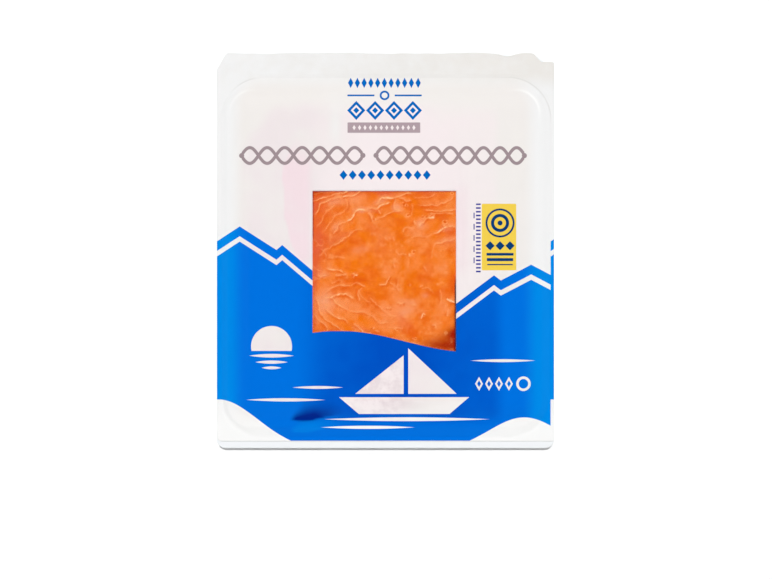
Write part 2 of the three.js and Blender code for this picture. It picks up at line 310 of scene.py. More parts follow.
class SalmonPackStage(bpy.types.PropertyGroup):
    """Camera and light."""

    distance: length("Distance", "Camera above the pack's face", 1.2)
    view_width: length("View width", "Width of what the camera sees at the pack's face", 0.4348)
    centre_x: position("Centre X", "What the camera looks at, across the pack", 0.0003)
    centre_y: position("Centre Y", "What the camera looks at, along the pack", -0.022)
    lamps: amount("Lamps", "Power of the large soft lamps, in watts", 0.95)
    steep: amount("Steep light", "Strength of the light from nearly overhead", 2.42)
    world: amount("World", "Strength of the even light all round", 0.19)


# ------------------------------------------------------------------ shader building


class Field:
    """A node's number or colour that Python arithmetic works on. Each step adds a Math node."""

    def __init__(self, paint, socket):
        self.paint = paint
        self.socket = socket

    def math(self, operation, *values):
        return self.paint.node("ShaderNodeMath", {"operation": operation}, dict(enumerate(values)))

    def __add__(self, other):
        return self.math("ADD", self, other)

    __radd__ = __add__

    def __sub__(self, other):
        return self.math("SUBTRACT", self, other)

    def __rsub__(self, other):
        return self.math("SUBTRACT", other, self)

    def __mul__(self, other):
        return self.math("MULTIPLY", self, other)

    __rmul__ = __mul__

    def __truediv__(self, other):
        return self.math("DIVIDE", self, other)

    def __rtruediv__(self, other):
        return self.math("DIVIDE", other, self)

    def __pow__(self, other):
        return self.math("POWER", self, other)

    def __neg__(self):
        return self.math("MULTIPLY", self, -1)

    def __abs__(self):
        return self.math("ABSOLUTE", self)

    def __or__(self, other):
        """Whichever of two masks is stronger."""
        return self.math("MAXIMUM", self, other)

    def __and__(self, other):
        """Whichever of two masks is weaker."""
        return self.math("MINIMUM", self, other)

    def bell(self, centre, width):
        """1 at the centre, falling away over the width."""
        away = (self - centre) / width
        return self.math("EXPONENT", -(away * away))

    def sine(self, wavelength):
        return self.math("SINE", self * (2 * pi / wavelength))

    def cosine(self, wavelength):
        return self.math("COSINE", self * (2 * pi / wavelength))

    def repeat(self, pitch):
        """Distance from the nearest of marks that stand a pitch apart, one of them at zero."""
        return abs(self.math("WRAP", self, pitch / 2, -pitch / 2))

    def held(self):
        """Kept between 0 and 1."""
        return self.paint.node("ShaderNodeClamp", {}, {0: self})

    def step(self, low, high):
        """Eases from 0 at low to 1 at high."""
        return self.paint.node(
            "ShaderNodeMapRange", {"interpolation_type": "SMOOTHSTEP"}, {0: self, 1: low, 2: high, 3: 0, 4: 1}
        )


class Nodes:
    """A node tree."""

    def __init__(self, tree):
        self.tree = tree

    def node(self, kind, settings, inputs, output=0):
        """Adds a node: its settings first, then its sockets' values and links. Gives one output."""
        made = self.tree.nodes.new(kind)
        for key, value in settings.items():
            setattr(made, key, value)
        for key, value in inputs.items():
            self.feed(made.inputs[key], value)
        return Field(self, made.outputs[output])

    def feed(self, socket, value):
        """Gives a socket a link, a number or a colour."""
        if isinstance(value, Field):
            self.tree.links.new(value.socket, socket)
        elif socket.type == "RGBA":
            socket.default_value = (*value, 1.0)
        else:
            socket.default_value = value


class Paint(Nodes):
    """A new material and the nodes that make it."""

    def __init__(self, name, blend=False):
        self.material = bpy.data.materials.new(name)
        self.material.use_nodes = True
        super().__init__(self.material.node_tree)
        self.shader = self.tree.nodes["Principled BSDF"]
        self.output = self.tree.nodes["Material Output"]
        if blend:
            self.material.surface_render_method = "BLENDED"
        place = self.node("ShaderNodeTexCoord", {}, {}, output="Object")
        self.place = place
        self.x, self.y, self.z = (
            self.node("ShaderNodeSeparateXYZ", {}, {0: place}, output=axis) / MM for axis in range(3)
        )

    def mix(self, factor, first, second):
        """Blends two colours."""
        return self.node(
            "ShaderNodeMix", {"data_type": "RGBA"}, {0: factor, 6: first, 7: second}, output=2
        )

    def attribute(self, name):
        """A number that the mesh carries at each point."""
        return self.node("ShaderNodeAttribute", {"attribute_name": name}, {}, output="Fac")

    def noise(self, size, detail=2.0, roughness=0.5, stretch=(1, 1, 1)):
        """Noise from 0 to 1 with features of a size in millimetres."""
        scaled = self.node("ShaderNodeMapping", {}, {"Vector": self.place, "Scale": stretch})
        return self.node(
            "ShaderNodeTexNoise",
            {},
            {"Vector": scaled, "Scale": 1 / (size * MM), "Detail": detail, "Roughness": roughness},
        )

    def bump(self, height, strength, depth):
        """A normal from a height, with the depth in millimetres."""
        return self.node(
            "ShaderNodeBump", {}, {"Height": height, "Strength": strength, "Distance": depth * MM}
        )

    def surface(self, **values):
        """Sets the Principled shader's sockets by name, with _ for a space."""
        for key, value in values.items():
            self.feed(self.shader.inputs[key.replace("_", " ")], value)
        return self.material


# ------------------------------------------------------------------ meshes


def placed(name, data):
    """A new object in the scene."""
    made = bpy.data.objects.new(name, data)
    bpy.context.scene.collection.objects.link(made)
    return made


def piece(name, points, faces, material, node, attributes=None):
    """A smooth mesh from millimetre points, which replaces a node and rides on the pack."""
    mesh = bpy.data.meshes.new(name)
    mesh.from_pydata((np.asarray(points) * MM).tolist(), [], faces)
    for key, values in (attributes or {}).items():
        layer = mesh.attributes.new(key, "FLOAT", "POINT")
        layer.data.foreach_set("value", np.asarray(values, dtype=np.float32))
    mesh.materials.append(material)
    mesh.shade_smooth()
    mesh.validate()
    made = placed(name, mesh)
    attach(made, "root")
    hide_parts(node)
    return made


def cells(number):
    """The four corners of each cell of a grid of numbered points, anticlockwise."""
    return np.stack([number[:-1, :-1], number[:-1, 1:], number[1:, 1:], number[1:, :-1]], axis=-1)


def closed_sheet(upper, lower, kept):
    """Points and faces of a thin closed body between two grids of points, where cells are kept.

    The third value tells which of the two grids' points it uses."""
    rows, columns = upper.shape[:2]
    count = rows * columns
    corners = cells(np.arange(count).reshape(rows, columns))
    top = corners[kept]
    faces = [top, top[:, ::-1] + count]
    padded = np.pad(kept, 1)
    sides = ((0, 1, (-1, 0)), (1, 2, (0, 1)), (2, 3, (1, 0)), (3, 0, (0, -1)))
    for first, second, (down, across) in sides:
        beyond = padded[1 + down:rows + down, 1 + across:columns + across]
        edge = corners[kept & ~beyond]
        a, b = edge[:, first], edge[:, second]
        faces.append(np.stack([b, a, a + count, b + count], axis=-1))
    faces = np.concatenate(faces)
    points = np.concatenate([upper.reshape(-1, 3), lower.reshape(-1, 3)])
    used, renumbered = np.unique(faces, return_inverse=True)
    return points[used], renumbered.reshape(faces.shape).tolist(), used


def loft(rings):
    """Points and faces of a closed body through rings of points, its two ends filled by a fan."""
    rings = np.asarray(rings)
    levels, count = rings.shape[:2]
    points = np.concatenate([rings.reshape(-1, 3), rings[0].mean(0)[None], rings[-1].mean(0)[None]])
    here = np.arange(count)
    following = (here + 1) % count
    faces = []
    for level in range(levels - 1):
        inner, outer = level * count, (level + 1) * count
        quads = np.stack([inner + here, outer + here, outer + following, inner + following], axis=-1)
        faces.extend(quads.tolist())
    first, last, end = levels * count, levels * count + 1, (levels - 1) * count
    faces.extend([first, i, j] for i, j in zip(here.tolist(), following.tolist()))
    faces.extend([last, end + j, end + i] for i, j in zip(here.tolist(), following.tolist()))
    return points, faces


def spaced(*stretches):
    """Grid lines through stretches, each given by its start, its end and its spacing."""
    lines = [np.array([stretches[0][0]])]
    for start, end, spacing in stretches:
        steps = max(round((end - start) / spacing), 1)
        lines.append(np.linspace(start, end, steps + 1)[1:])
    return np.concatenate(lines)


CORNER_POINTS = 28
SIDE_POINTS = 40


def rounded_ring(box, radii=None):
    """Points round a rounded rectangle, anticlockwise. The radii start at the lower right corner."""
    low_right, high_right, high_left, low_left = radii or (box.radius,) * 4
    corners = (
        (box.right - high_right, box.top - high_right, high_right, 0),
        (box.left + high_left, box.top - high_left, high_left, pi / 2),
        (box.left + low_left, box.bottom + low_left, low_left, pi),
        (box.right - low_right, box.bottom + low_right, low_right, 3 * pi / 2),
    )
    arcs = []
    for x, y, radius, start in corners:
        angle = start + np.linspace(0, pi / 2, CORNER_POINTS)
        arcs.append(np.stack([x + radius * np.cos(angle), y + radius * np.sin(angle)], axis=-1))
    points = []
    for index, arc in enumerate(arcs):
        share = np.linspace(0, 1, SIDE_POINTS, endpoint=False)[1:, None]
        points.append(arcs[index - 1][-1] * (1 - share) + arc[0] * share)
        points.append(arc)
    return np.concatenate(points)


def inset(box, by):
    """A rounded rectangle drawn in on all sides."""
    return Rounded(
        box.left + by, box.right - by, box.bottom + by, box.top - by, max(box.radius - by, 0.5)
    )


def level_ring(box, z):
    """Points round a rounded rectangle that lies at a height."""
    plan = rounded_ring(box)
    return np.column_stack([plan, np.full(len(plan), z)])


# ------------------------------------------------------------------ the flange and the lid

WAVE_REACH = 12  # how far above the rise the flange's waves grow to their full height
TOP_SET_BACK = 0.35  # how far the top edge lies inside the tray's box
TOP_WAVES = ((0.2, 82, 0.6), (0.12, 33, 2.0), (0.08, 14, 0.3))  # height, length and phase of each
TOP_DENT = Cut(68.5, 4.8, 1.6)
TOP_SLANT = Dip(5.8, 8.4)  # the slanted left corner
SLANT_BOW = 0.12
TOP_STEP = Cut(82.5, 6, 4.6)  # the stepped right corner

EDGE_SHARE = 0.32  # of the rise, up to the crown's edge; the rest is a soft shoulder
SHOULDER_START, SHOULDER_WIDTH = -3, 17  # measured in from the crown's edge
GROOVE_WIDTH = 1.1
SEAL_GAP = 0.05  # between the film and the tray's flange
FILLED_LIFT, RELIEF_BASE = 0.45, 0.35
SLICE_STEP, PILE_STEP = 0.16, 0.35  # what a slice's edge and the pile's edge add to the lid


def flange_wave(sizes, x, y):
    """Soft waves of the upper flange, where tray and film are sealed together."""
    reach = smooth((y - RIM.top) / WAVE_REACH)
    long_wave = np.sin(x / 11 + 0.8 * np.sin(y / 9)) + 0.6 * np.sin(x / 5.3 + y / 6)
    return sizes.crumple / MM * reach * (0.35 * long_wave + 0.5 * Noise(9, 3)(x, y * 1.6))


def wandering_top(x, y):
    """Draws the top edge in: it waves a little, has a dent, one slanted corner and one stepped corner."""
    low, high = millimetres("tray")
    share = smooth((y - RIM.top) / (high.y - RIM.top))
    drop = TOP_SET_BACK
    for height, wavelength, phase in TOP_WAVES:
        drop = drop + height * np.sin(2 * pi * x / wavelength + phase)
    drop = drop + TOP_DENT.depth * fading(x - TOP_DENT.x, TOP_DENT.width)
    slant = np.clip((low.x + TOP_SLANT.reach - x) / TOP_SLANT.reach, 0, 1)
    bowed = slant + SLANT_BOW * np.sin(pi * slant) * (2 * slant - 1)
    drop = drop + TOP_SLANT.depth * bowed + TOP_STEP.depth * smooth((x - TOP_STEP.x) / TOP_STEP.width)
    return y - share * drop


def folded(x, y, part):
    """Depth, or the darkness of the painted shade, of the soft folds. A fold widens from its start and fades
    at both ends.
    """
    total = np.zeros(np.shape(x))
    for fold in FOLDS:
        curve = smooth_curve(fold.points)
        away, along, _ = from_curve(curve, x, y)
        line = np.interp(x, curve[:, 0], curve[:, 1])
        width = fold.below + (fold.above - fold.below) * smooth((y - line) / 1.5 + 0.5)
        width = width * (0.3 + 0.7 * smooth(along * 2.2))
        taper = smooth(along * 5) * smooth((1 - along) * 2.4)
        total += getattr(fold, part) * taper * fading(away, width)
    return total


def slice_steps(x, y):
    """What the edges of the slices under the lid add to it."""
    edges = smooth(inside_slice(MIDDLE, x, y) / 2.5 + 0.5) + smooth(inside_slice(TOP, x, y) / 2.5 + 0.5)
    return SLICE_STEP * edges + PILE_STEP * smooth(inside_slice(PILE, x, y) / 4 + 0.5)


def lid_height(sizes, x, y):
    """Height of the lid's upper face."""
    flange = millimetres("tray")[1].z + sizes.film / MM + SEAL_GAP
    high = millimetres("lid_film")[1].z
    rise = high - sizes.filled_rise / MM - flange
    from_rim, from_crown = inside(RIM, x, y), inside(CROWN, x, y)
    groove = sizes.groove / MM * fading(from_rim, GROOVE_WIDTH)
    edge = smooth(from_rim / np.maximum(from_rim - from_crown, 1e-6))
    edge = np.where(from_rim <= 0, 0, np.where(from_crown < 0, edge, 1))
    shoulder = smooth((from_crown - SHOULDER_START) / SHOULDER_WIDTH)
    shape = EDGE_SHARE * edge + (1 - EDGE_SHARE) * shoulder
    filled = smooth(inside(FILLED, x, y) / 8 + 0.5)
    inner = smooth(from_crown / 5)
    relief = FILLED_LIFT * filled + slice_steps(x, y) - RELIEF_BASE - folded(x, y, "depth")
    relief = relief + 0.12 * Noise(17, 5)(x, y) + 0.05 * Noise(5.5, 6)(x, y)
    return flange - groove + rise * shape + inner * relief + flange_wave(sizes, x, y)


# ------------------------------------------------------------------ the flesh

# Pale streaks of fat in the flesh under the window: the width, the strength, and the points that each runs
# through. The side on the left of its way gets painted light, the side on its right painted shade.
STREAKS = (
    (0.40, 0.90, (-41, 27.6), (-32.4, 30.4), (-26.2, 32), (-23.4, 32), (-21, 33.5)),
    (0.30, 0.50, (-41, 31.4), (-34, 32.4), (-28, 33.6)),
    (0.45, 0.85, (-40, 19.4), (-37.7, 23.1), (-35.5, 26.5), (-31.5, 27.9), (-27.6, 29.7), (-24, 29.9)),
    (0.45, 1.00, (-24, 29.9), (-21.2, 30.6), (-16.7, 31.5), (-14, 33.5)),
    (0.55, 0.50, (-35.2, 10.5), (-31.8, 13.9), (-29.5, 17.2), (-27.6, 19.7), (-24, 21.4), (-21.7, 24.2),
     (-21.4, 27), (-22.6, 29.5)),
    (0.50, 0.45, (-38.5, 13), (-35.5, 16.7), (-34.3, 20), (-31.5, 23.4), (-27.9, 25.3)),
    (0.45, 0.75, (-29.5, 9), (-27, 11.6), (-26.7, 13.9), (-25.4, 15.3), (-21.7, 16.4)),
    (0.55, 1.10, (-21.7, 16.4), (-19.7, 17.5), (-18.3, 19.4), (-16.7, 21.7), (-14.5, 22.8), (-10.5, 22.5)),
    (0.75, 1.00, (-10.5, 22.5), (-8.9, 23.6), (-4.9, 23.9), (-3.3, 25.3), (0.3, 26.6), (3, 27.2)),
    (0.65, 1.00, (-6.3, 25.6), (-4.4, 27), (-3, 29), (0.3, 29.8), (3.7, 29.3), (5.3, 29.5), (8.7, 30.9),
     (12.1, 32), (15.4, 31.7)),
    (0.50, 1.00, (-10, 21.1), (-8.3, 20), (-7.4, 17.8), (-6.9, 16.1)),
    (0.45, 1.10, (-4.1, 22.8), (-3.2, 21.6), (-2.4, 20.8)),
    (0.55, 1.30, (-5.6, 18.2), (-5.6, 17)),
    (0.50, 0.75, (-4.4, 18.4), (-2.2, 18.2), (0.5, 20), (2.4, 21.4), (6, 22), (9.4, 23)),
    (0.50, 0.70, (5.5, 29.3), (5.2, 26.4), (5.6, 23.6), (8.4, 22.8)),
    (0.45, 0.95, (7.3, 29.5), (10.4, 28.7), (11.5, 27.6), (14.9, 28.2)),
    (0.35, 0.55, (14.6, 26.4), (15.1, 21.7), (13.7, 19.4), (10.9, 18.6)),
    (0.40, 0.55, (16, 29.8), (21.8, 29.5), (26, 30.4), (27.6, 32.4)),
    (0.40, 0.75, (17.6, 25.3), (21.8, 25.7), (26, 25.6), (30.2, 25.7), (33.9, 27.3), (37, 29.3),
     (38.4, 31)),
    (0.45, 0.85, (21.8, 23.1), (26, 22.5), (31.6, 22.2), (38.6, 23.1), (40.5, 23.4)),
    (0.35, 0.50, (27.7, 20.3), (31.6, 21.4), (35.6, 21.4), (37.8, 20)),
    (0.40, 0.70, (19.1, 15.1), (23.6, 18.3), (26.8, 20.3), (31.9, 20.8), (37.8, 20.5)),
    (0.30, 0.90, (32, 14.6), (33.4, 13.4), (33.8, 12.2), (35.2, 12.8)),
    (0.30, 0.90, (35, 15.2), (36.2, 13.6), (38.8, 14.2)),
    (0.30, 0.55, (-0.2, 7.8), (0.4, 5.8)),
    (0.30, 0.55, (1.8, 8.4), (2.3, 6)),
    (0.30, 0.55, (4.2, 7.8), (4.9, 5.7)),
    (0.50, 0.60, (5, -4.4), (4.7, -7.4), (5.4, -10.4)),
    (0.35, 0.55, (-36.4, 1.2), (-34, -1.4), (-33.6, -4.6)),
    (0.40, 0.40, (-40.6, 6.4), (-37.4, 3.4), (-34.6, 2.6)),
    (0.40, 0.50, (-40.8, -8.6), (-38.4, -11), (-35.6, -11.8)),
    (0.40, 0.45, (-12.6, -21), (-14.4, -23), (-13.4, -26), (-8, -29)),
    (0.40, 0.50, (-9, -26), (-4, -31), (2, -35.6), (7, -37)),
    (0.35, 0.50, (20.4, -21), (24.6, -21.6), (27, -24)),
    (0.35, 0.50, (30.4, -22), (31.6, -26), (30.8, -30)),
    (0.40, 0.40, (14, 6.4), (18, 8.4), (23, 8), (26.4, 9.2)),
    (0.70, 1.00, (19.2, 13.4), (19.4, 15.4), (21.4, 16.4), (23, 17.8), (26, 18.4), (27.6, 19.6)),
    (0.45, 0.80, (16, 16.6), (17, 14.4)),
    (0.60, 0.45, (9.3, 10.5), (10.7, 12.2), (12.6, 13), (16.5, 11.6)),
    (0.50, 1.10, (26.6, 9.3), (29.4, 10.1), (31.1, 11.4), (32.5, 12.5), (34.4, 12.5), (35.9, 13.4),
     (40.5, 13)),
    (0.55, 0.70, (27.1, 2.6), (28.6, 4), (31.6, 4.4), (34.4, 5.5), (37.3, 6), (40.5, 6.6)),
    (0.40, 0.35, (26.8, 2.8), (26, -1), (25.6, -4.4)),
    (0.50, 0.95, (-31.5, 1.5), (-30.1, 2.9), (-27.3, 3.5), (-25.6, 4.9), (-24, 6.3), (-21.7, 7.4)),
    (0.60, 0.60, (-21.7, 7.4), (-19.5, 9.4), (-15.5, 11.6), (-12.6, 11.8)),
    (0.70, 0.40, (-37.5, -3), (-34.6, -0.6), (-31.5, 1.5)),
    (0.70, 0.45, (-32.6, -4.3), (-26.8, -3.7), (-22.6, -4.1)),
    (0.30, 0.45, (5.2, 0.4), (7.2, -1.6), (9.6, -2.2), (12, -2.6)),
    (0.50, 0.85, (13.9, -1.6), (13.8, -3.6)),
    (0.45, 0.95, (-33, -10.4), (-29, -10.8), (-26.7, -11.3), (-23.6, -12)),
    (0.55, 0.95, (-38.2, -13.8), (-36.5, -14.5), (-33.4, -13.9)),
    (0.35, 0.60, (-41, -17.6), (-37.5, -15.7), (-36.5, -14.6)),
    (0.50, 0.95, (-28.6, -13.8), (-26.7, -14.2), (-24.7, -13.8), (-21.6, -13.1)),
    (0.60, 1.20, (-18.8, -13), (-17.4, -14), (-15.6, -14)),
    (0.40, 1.00, (-18.4, -15.4), (-17.4, -14.2)),
    (0.35, 0.50, (-31, -18.6), (-27.4, -17), (-25, -16.8)),
    (0.45, 0.75, (-34, -23.6), (-31.1, -22.1), (-29.4, -20.8), (-25.3, -19.6), (-22, -19.8),
     (-19.3, -19.9)),
    (0.45, 0.70, (-19.3, -19.9), (-17.9, -18.6), (-14.9, -18.8), (-11.2, -20.2)),
    (0.45, 1.00, (-34, -26.5), (-30.1, -26.5), (-29.7, -25.8), (-24.7, -24.5), (-21.6, -24.6), (-18, -27)),
    (0.55, 0.90, (-29.6, -26.5), (-28.4, -28.5), (-26.7, -30.2), (-24, -31.6), (-20.6, -33.3)),
    (0.50, 0.60, (-20.6, -33.3), (-16, -34.6), (-11.5, -35), (-6.4, -38), (-3.1, -40.6), (1.6, -40.6)),
    (0.40, 0.85, (-39.6, -25.6), (-37.6, -30.2), (-36.2, -34.9), (-32.8, -39), (-29, -41.4), (-25.3, -44.4),
     (-23, -45.6)),
    (0.50, 0.90, (-33.4, -32), (-32.1, -34.3), (-29, -36.3), (-26.7, -38), (-23.6, -38.7), (-20.9, -40.8)),
    (0.55, 0.80, (-18, -41.2), (-16.6, -42.4), (-14.5, -43.7), (-12, -46)),
    (0.45, 0.95, (-41, -34.7), (-38.8, -37.3), (-35.8, -40.6), (-32.4, -43.8)),
    (0.35, 0.90, (-33.6, -46), (-32.2, -44.4)),
    (0.35, 0.60, (-14.6, -22.6), (-15.4, -25.4), (-14.4, -28)),
    (0.60, 1.10, (-6.8, -43.4), (-6.4, -44.2)),
    (0.50, 0.70, (-5.6, -44.8), (-3.6, -46)),
    (0.70, 0.80, (-14, -46.6), (-11, -46.6), (-8, -47)),
    (0.45, 0.55, (3, -48.4), (8, -50.6), (14, -52.2), (19, -53.2)),
    (0.50, 0.85, (-3.9, -19.3), (0.1, -18.9), (1.4, -17), (2.8, -14)),
    (0.35, 0.60, (7.2, -15.6), (7.2, -19.1), (6.5, -21.1), (8.2, -23.3)),
    (0.35, 0.55, (3.1, -18.1), (6.3, -20.9)),
    (0.40, 0.80, (13.7, -18.6), (13.6, -20.2)),
    (0.45, 0.60, (18.6, -20.5), (20, -20), (21.4, -19.6)),
    (0.60, 0.60, (29.6, -18.6), (30, -19.6)),
    (0.50, 0.50, (21, -8.6), (22.4, -10.4), (23.8, -12.4)),
    (0.70, 1.20, (34.2, -27.4), (36.9, -28.2), (39.4, -29.6)),
    (0.50, 0.85, (6.4, -29.2), (8.6, -29.6), (11, -29)),
    (0.45, 0.75, (14.4, -30.8), (16.8, -30.9)),
    (0.55, 1.00, (0.8, -32), (2, -32.2), (3, -31.8)),
    (0.40, 1.00, (20.6, -38.4), (20.2, -36.6), (21.2, -35.4), (22.4, -36)),
    (0.70, 0.80, (35.3, -33.4), (34.8, -36.8)),
    (0.50, 0.70, (26.8, -41.8), (28.4, -42.6)),
    (0.45, 0.60, (5, -44.6), (6.6, -43.8), (9.6, -44)),
    (0.50, 0.50, (15.6, -48.6), (16.8, -50.2)),
)

# Small air bubbles between the flesh and the film: the place and the radius of each.
# Each is painted, as a highlight round its rim and shade in its middle.
BUBBLES = (
    (10.4, 26, 1.1), (11.9, 25.2, 0.7), (12.6, 19.8, 0.9),
    (25.8, 19.6, 1.5), (21, 18.7, 0.9), (23, 18.9, 0.6),
    (33.4, 15.9, 1.2), (34.6, 14.6, 0.7), (32.4, 11.2, 0.7),
    (37.4, 32, 0.9), (15.9, -0.9, 1.1), (8.7, -30.6, 0.8),
    (21.5, -36.4, 0.9), (27.6, -42.6, 0.9), (6.4, -44.4, 0.7),
    (16.9, -49.6, 0.7), (15.7, -31.4, 0.6), (-3.6, 26.6, 0.8),
    (28.8, -41.6, 0.5), (1.9, -33, 0.6), (34, -46.4, 0.7), (13.8, 22.6, 0.5),
)

# Soft patches of colour in the flesh under the window.
PALE_SPOTS = (
    Spot(-36, 27, 5, 3.5, 0.5, 0.6), Spot(-27, 27.5, 5, 3, 0, 0.8), Spot(-16, 29, 7, 4, 0.1, 0.7),
    Spot(-28, 13, 5, 3, 0.9, 0.7), Spot(-14, 0.4, 7, 3, 0.1, 0.8), Spot(-12, 17, 6, 3, 0, 0.3),
    Spot(-34, -28, 7, 7, 0.3, 1.0), Spot(-36, -11, 5, 3, 0, 0.6), Spot(-22, -29, 10, 5, -0.4, 0.5),
    Spot(-6, -33, 12, 6, -0.3, 0.6), Spot(0, 9, 5, 4, 0, 0.3), Spot(6, 24, 3, 2, 0, 0.9),
    Spot(20, 15, 3, 4, 0, 0.8), Spot(14, 11, 6, 3, 0.3, 0.5), Spot(34, 5, 6, 3, 0.2, 0.6),
    Spot(34, 14, 4, 3, 0.3, 0.7), Spot(26, 27, 12, 4, 0, 0.35), Spot(20, 2, 5, 8, 0, 0.4),
    Spot(5, -25, 5, 5, 0, 0.5), Spot(10, -33, 9, 5, 0.2, 0.9), Spot(22, -25, 4, 3, 0, 0.7),
    Spot(24, -11, 5, 5, 0.3, 0.55), Spot(33, -12, 5, 4, 0, 0.4), Spot(30, -33, 8, 5, 0, 0.4),
    Spot(28, -42, 5, 3, 0.3, 0.5), Spot(2, -43, 8, 4, 0, 0.4), Spot(1, -12, 6, 3, 0, 0.4),
)
MILKY_SPOTS = (
    Spot(-34.5, -29, 4.5, 5.5, 0.3, 0.46), Spot(-29, 27.6, 4, 2, 0.2, 0.3),
    Spot(-17, 28.5, 6, 3.4, 0.2, 0.14),
    Spot(-12, 22.4, 6, 1.6, 0, 0.4), Spot(-3, 27.6, 4, 1.8, 0.4, 0.35), Spot(6.6, 24, 2.4, 1.8, 0, 0.4),
    Spot(19.6, 14.6, 1.6, 2, 0, 0.45), Spot(-28, 13, 2.6, 2.2, 0.8, 0.22),
    Spot(11.6, -34, 4, 2.6, 0.3, 0.34),
    Spot(-35, -14, 3, 1.4, 0, 0.3), Spot(34.5, 12, 3, 1.6, 0.2, 0.35), Spot(-14, 0.4, 5, 2, 0.1, 0.16),
    Spot(36, 5.6, 5, 1.4, 0.1, 0.2), Spot(14, -28.6, 5, 1.6, 0, 0.22), Spot(22.4, -25.4, 2, 1.4, 0, 0.3),
)
ROSE_SPOTS = (
    Spot(-40, 12, 5, 17, 0, 1.0), Spot(-38, 25, 4, 5, 0.3, 0.8), Spot(-38, 33, 14, 3.4, 0.15, 1.0),
    Spot(-16, 33.4, 9, 2, 0, 0.6), Spot(-2, 32.6, 9, 2.6, 0, 0.9), Spot(22, 32.6, 9, 2.4, 0, 0.8),
    Spot(-40.4, -4, 4.4, 10, 0, 0.8), Spot(-31, 20, 9, 5, 0.7, 0.4), Spot(-33, 4, 7, 6, 0.4, 0.45),
    Spot(-41.6, -17, 3, 6, 0, 1.3), Spot(-41.4, -28, 2.6, 6, 0, 0.8),
    Spot(-41, -40, 4, 5, 0.3, 0.9), Spot(-30, -45.6, 9, 1.4, 0, 0.9), Spot(-6, -46.6, 12, 1.4, -0.3, 0.7),
    Spot(-24, -22, 6, 2, 0, 0.3), Spot(36, 10, 5, 2.4, 0, 0.7), Spot(-6, 12, 6, 4, 0, 0.35),
    Spot(14, -44, 3, 5, 0.4, 0.5), Spot(9, -41, 2.4, 6, 0, 0.3), Spot(39.4, -21, 2.4, 6, 0, 0.9),
    Spot(32, 18.6, 4, 3, 0, 0.4), Spot(-24, 8, 7, 3, 0.4, 0.3), Spot(-2, 1, 5, 6, 0, 0.3),
)
# Deeper patches; the two along the window's top edge are painted shadow of the print's edge.
DEEP_SPOTS = (
    Spot(-37, 32.6, 8, 2, 0.2, 0.8), Spot(-34, 7, 7, 4, 0.5, 0.55), Spot(-17, 4.6, 6, 2, 0.1, 0.5),
    Spot(-28, -2, 9, 2.6, 0.3, 0.5), Spot(-41, -16.4, 2.4, 4, 0, 0.7), Spot(-22, -16.6, 7, 2, 0.1, 0.7),
    Spot(-14, -17, 4, 2.4, 0.2, 0.6), Spot(-41, -40, 2, 5, 0, 0.8), Spot(-9, -24.4, 3, 2, 0, 0.4),
    Spot(38, -19, 3.4, 5, 0, 0.9), Spot(32, -24, 5, 3.4, 0.4, 0.6), Spot(12.4, -46.6, 5, 4, -0.2, 0.5),
    Spot(22, -39, 3.4, 4, 0, 0.6), Spot(20, -46, 6, 3, 0, 0.5), Spot(37, 0, 4, 5, 0, 0.6),
    Spot(36.6, 10.4, 3, 0.8, 0, 0.7), Spot(10.6, 25.6, 1.6, 1.4, 0, 0.8), Spot(-8, -10, 5, 2, 0.2, 0.4),
    Spot(20, -15, 6, 2.4, 0, 0.4), Spot(-3, 32.8, 10, 1.6, 0, 0.4),
)
GOLD_SPOTS = (
    Spot(3, 27.6, 1.8, 1.2, 0.2, 1.2), Spot(-5, 20, 3, 2, 0.4, 0.8), Spot(-10, 17, 4, 5, 0, 0.6),
    Spot(8, 6, 4, 8, 0.1, 0.8), Spot(10, -4, 5, 3, 0, 1.0), Spot(-5, -7, 5, 4, 0.3, 0.9),
    Spot(-14, -13.6, 4, 3, 0.3, 0.9), Spot(-4, -25, 6, 6, 0, 0.7), Spot(14, -12, 6, 4, 0, 0.7),
    Spot(10, -19, 5, 3, 0.2, 0.9), Spot(18, -34, 3, 6, 0, 0.8), Spot(34, 19, 5, 2.4, 0.2, 0.7),
    Spot(22, 8, 6, 5, 0.2, 0.4), Spot(16, 24, 8, 4, 0, 0.4), Spot(-26, -27, 5, 2, 0, 0.6),
    Spot(-30, 22, 4, 3, 0.6, 0.5), Spot(-17, 24, 4, 4, 0, 0.6), Spot(28, -29, 5, 4, 0, 0.5),
    Spot(-28, -38, 5, 3, -0.6, 0.5), Spot(18, 31, 3, 2, 0, 0.6),
)
# Darker towards the lower right; the narrow patches on the right edge and top left are painted shadow.
DARK_SPOTS = (
    Spot(39, -46.6, 5, 3.2, 0, 0.9), Spot(37, -53, 10, 5, -0.2, 0.85), Spot(40.6, -50, 1.8, 9, 0, 0.6),
    Spot(39.6, -38, 1.6, 7, 0, 0.4), Spot(27, -53.4, 8, 2.6, -0.2, 0.45), Spot(-37, 33, 8, 1.8, 0.25, 0.4),
)


def spotted(spots, x, y):
    """Sum of soft spots."""
    total = np.zeros(x.shape)
    for spot in spots:
        across = (x - spot.x) * np.cos(spot.turn) + (y - spot.y) * np.sin(spot.turn)
        along = (y - spot.y) * np.cos(spot.turn) - (x - spot.x) * np.sin(spot.turn)
        total += spot.strength * np.exp(-((across / spot.half_width) ** 2 + (along / spot.half_height) ** 2))
    return total


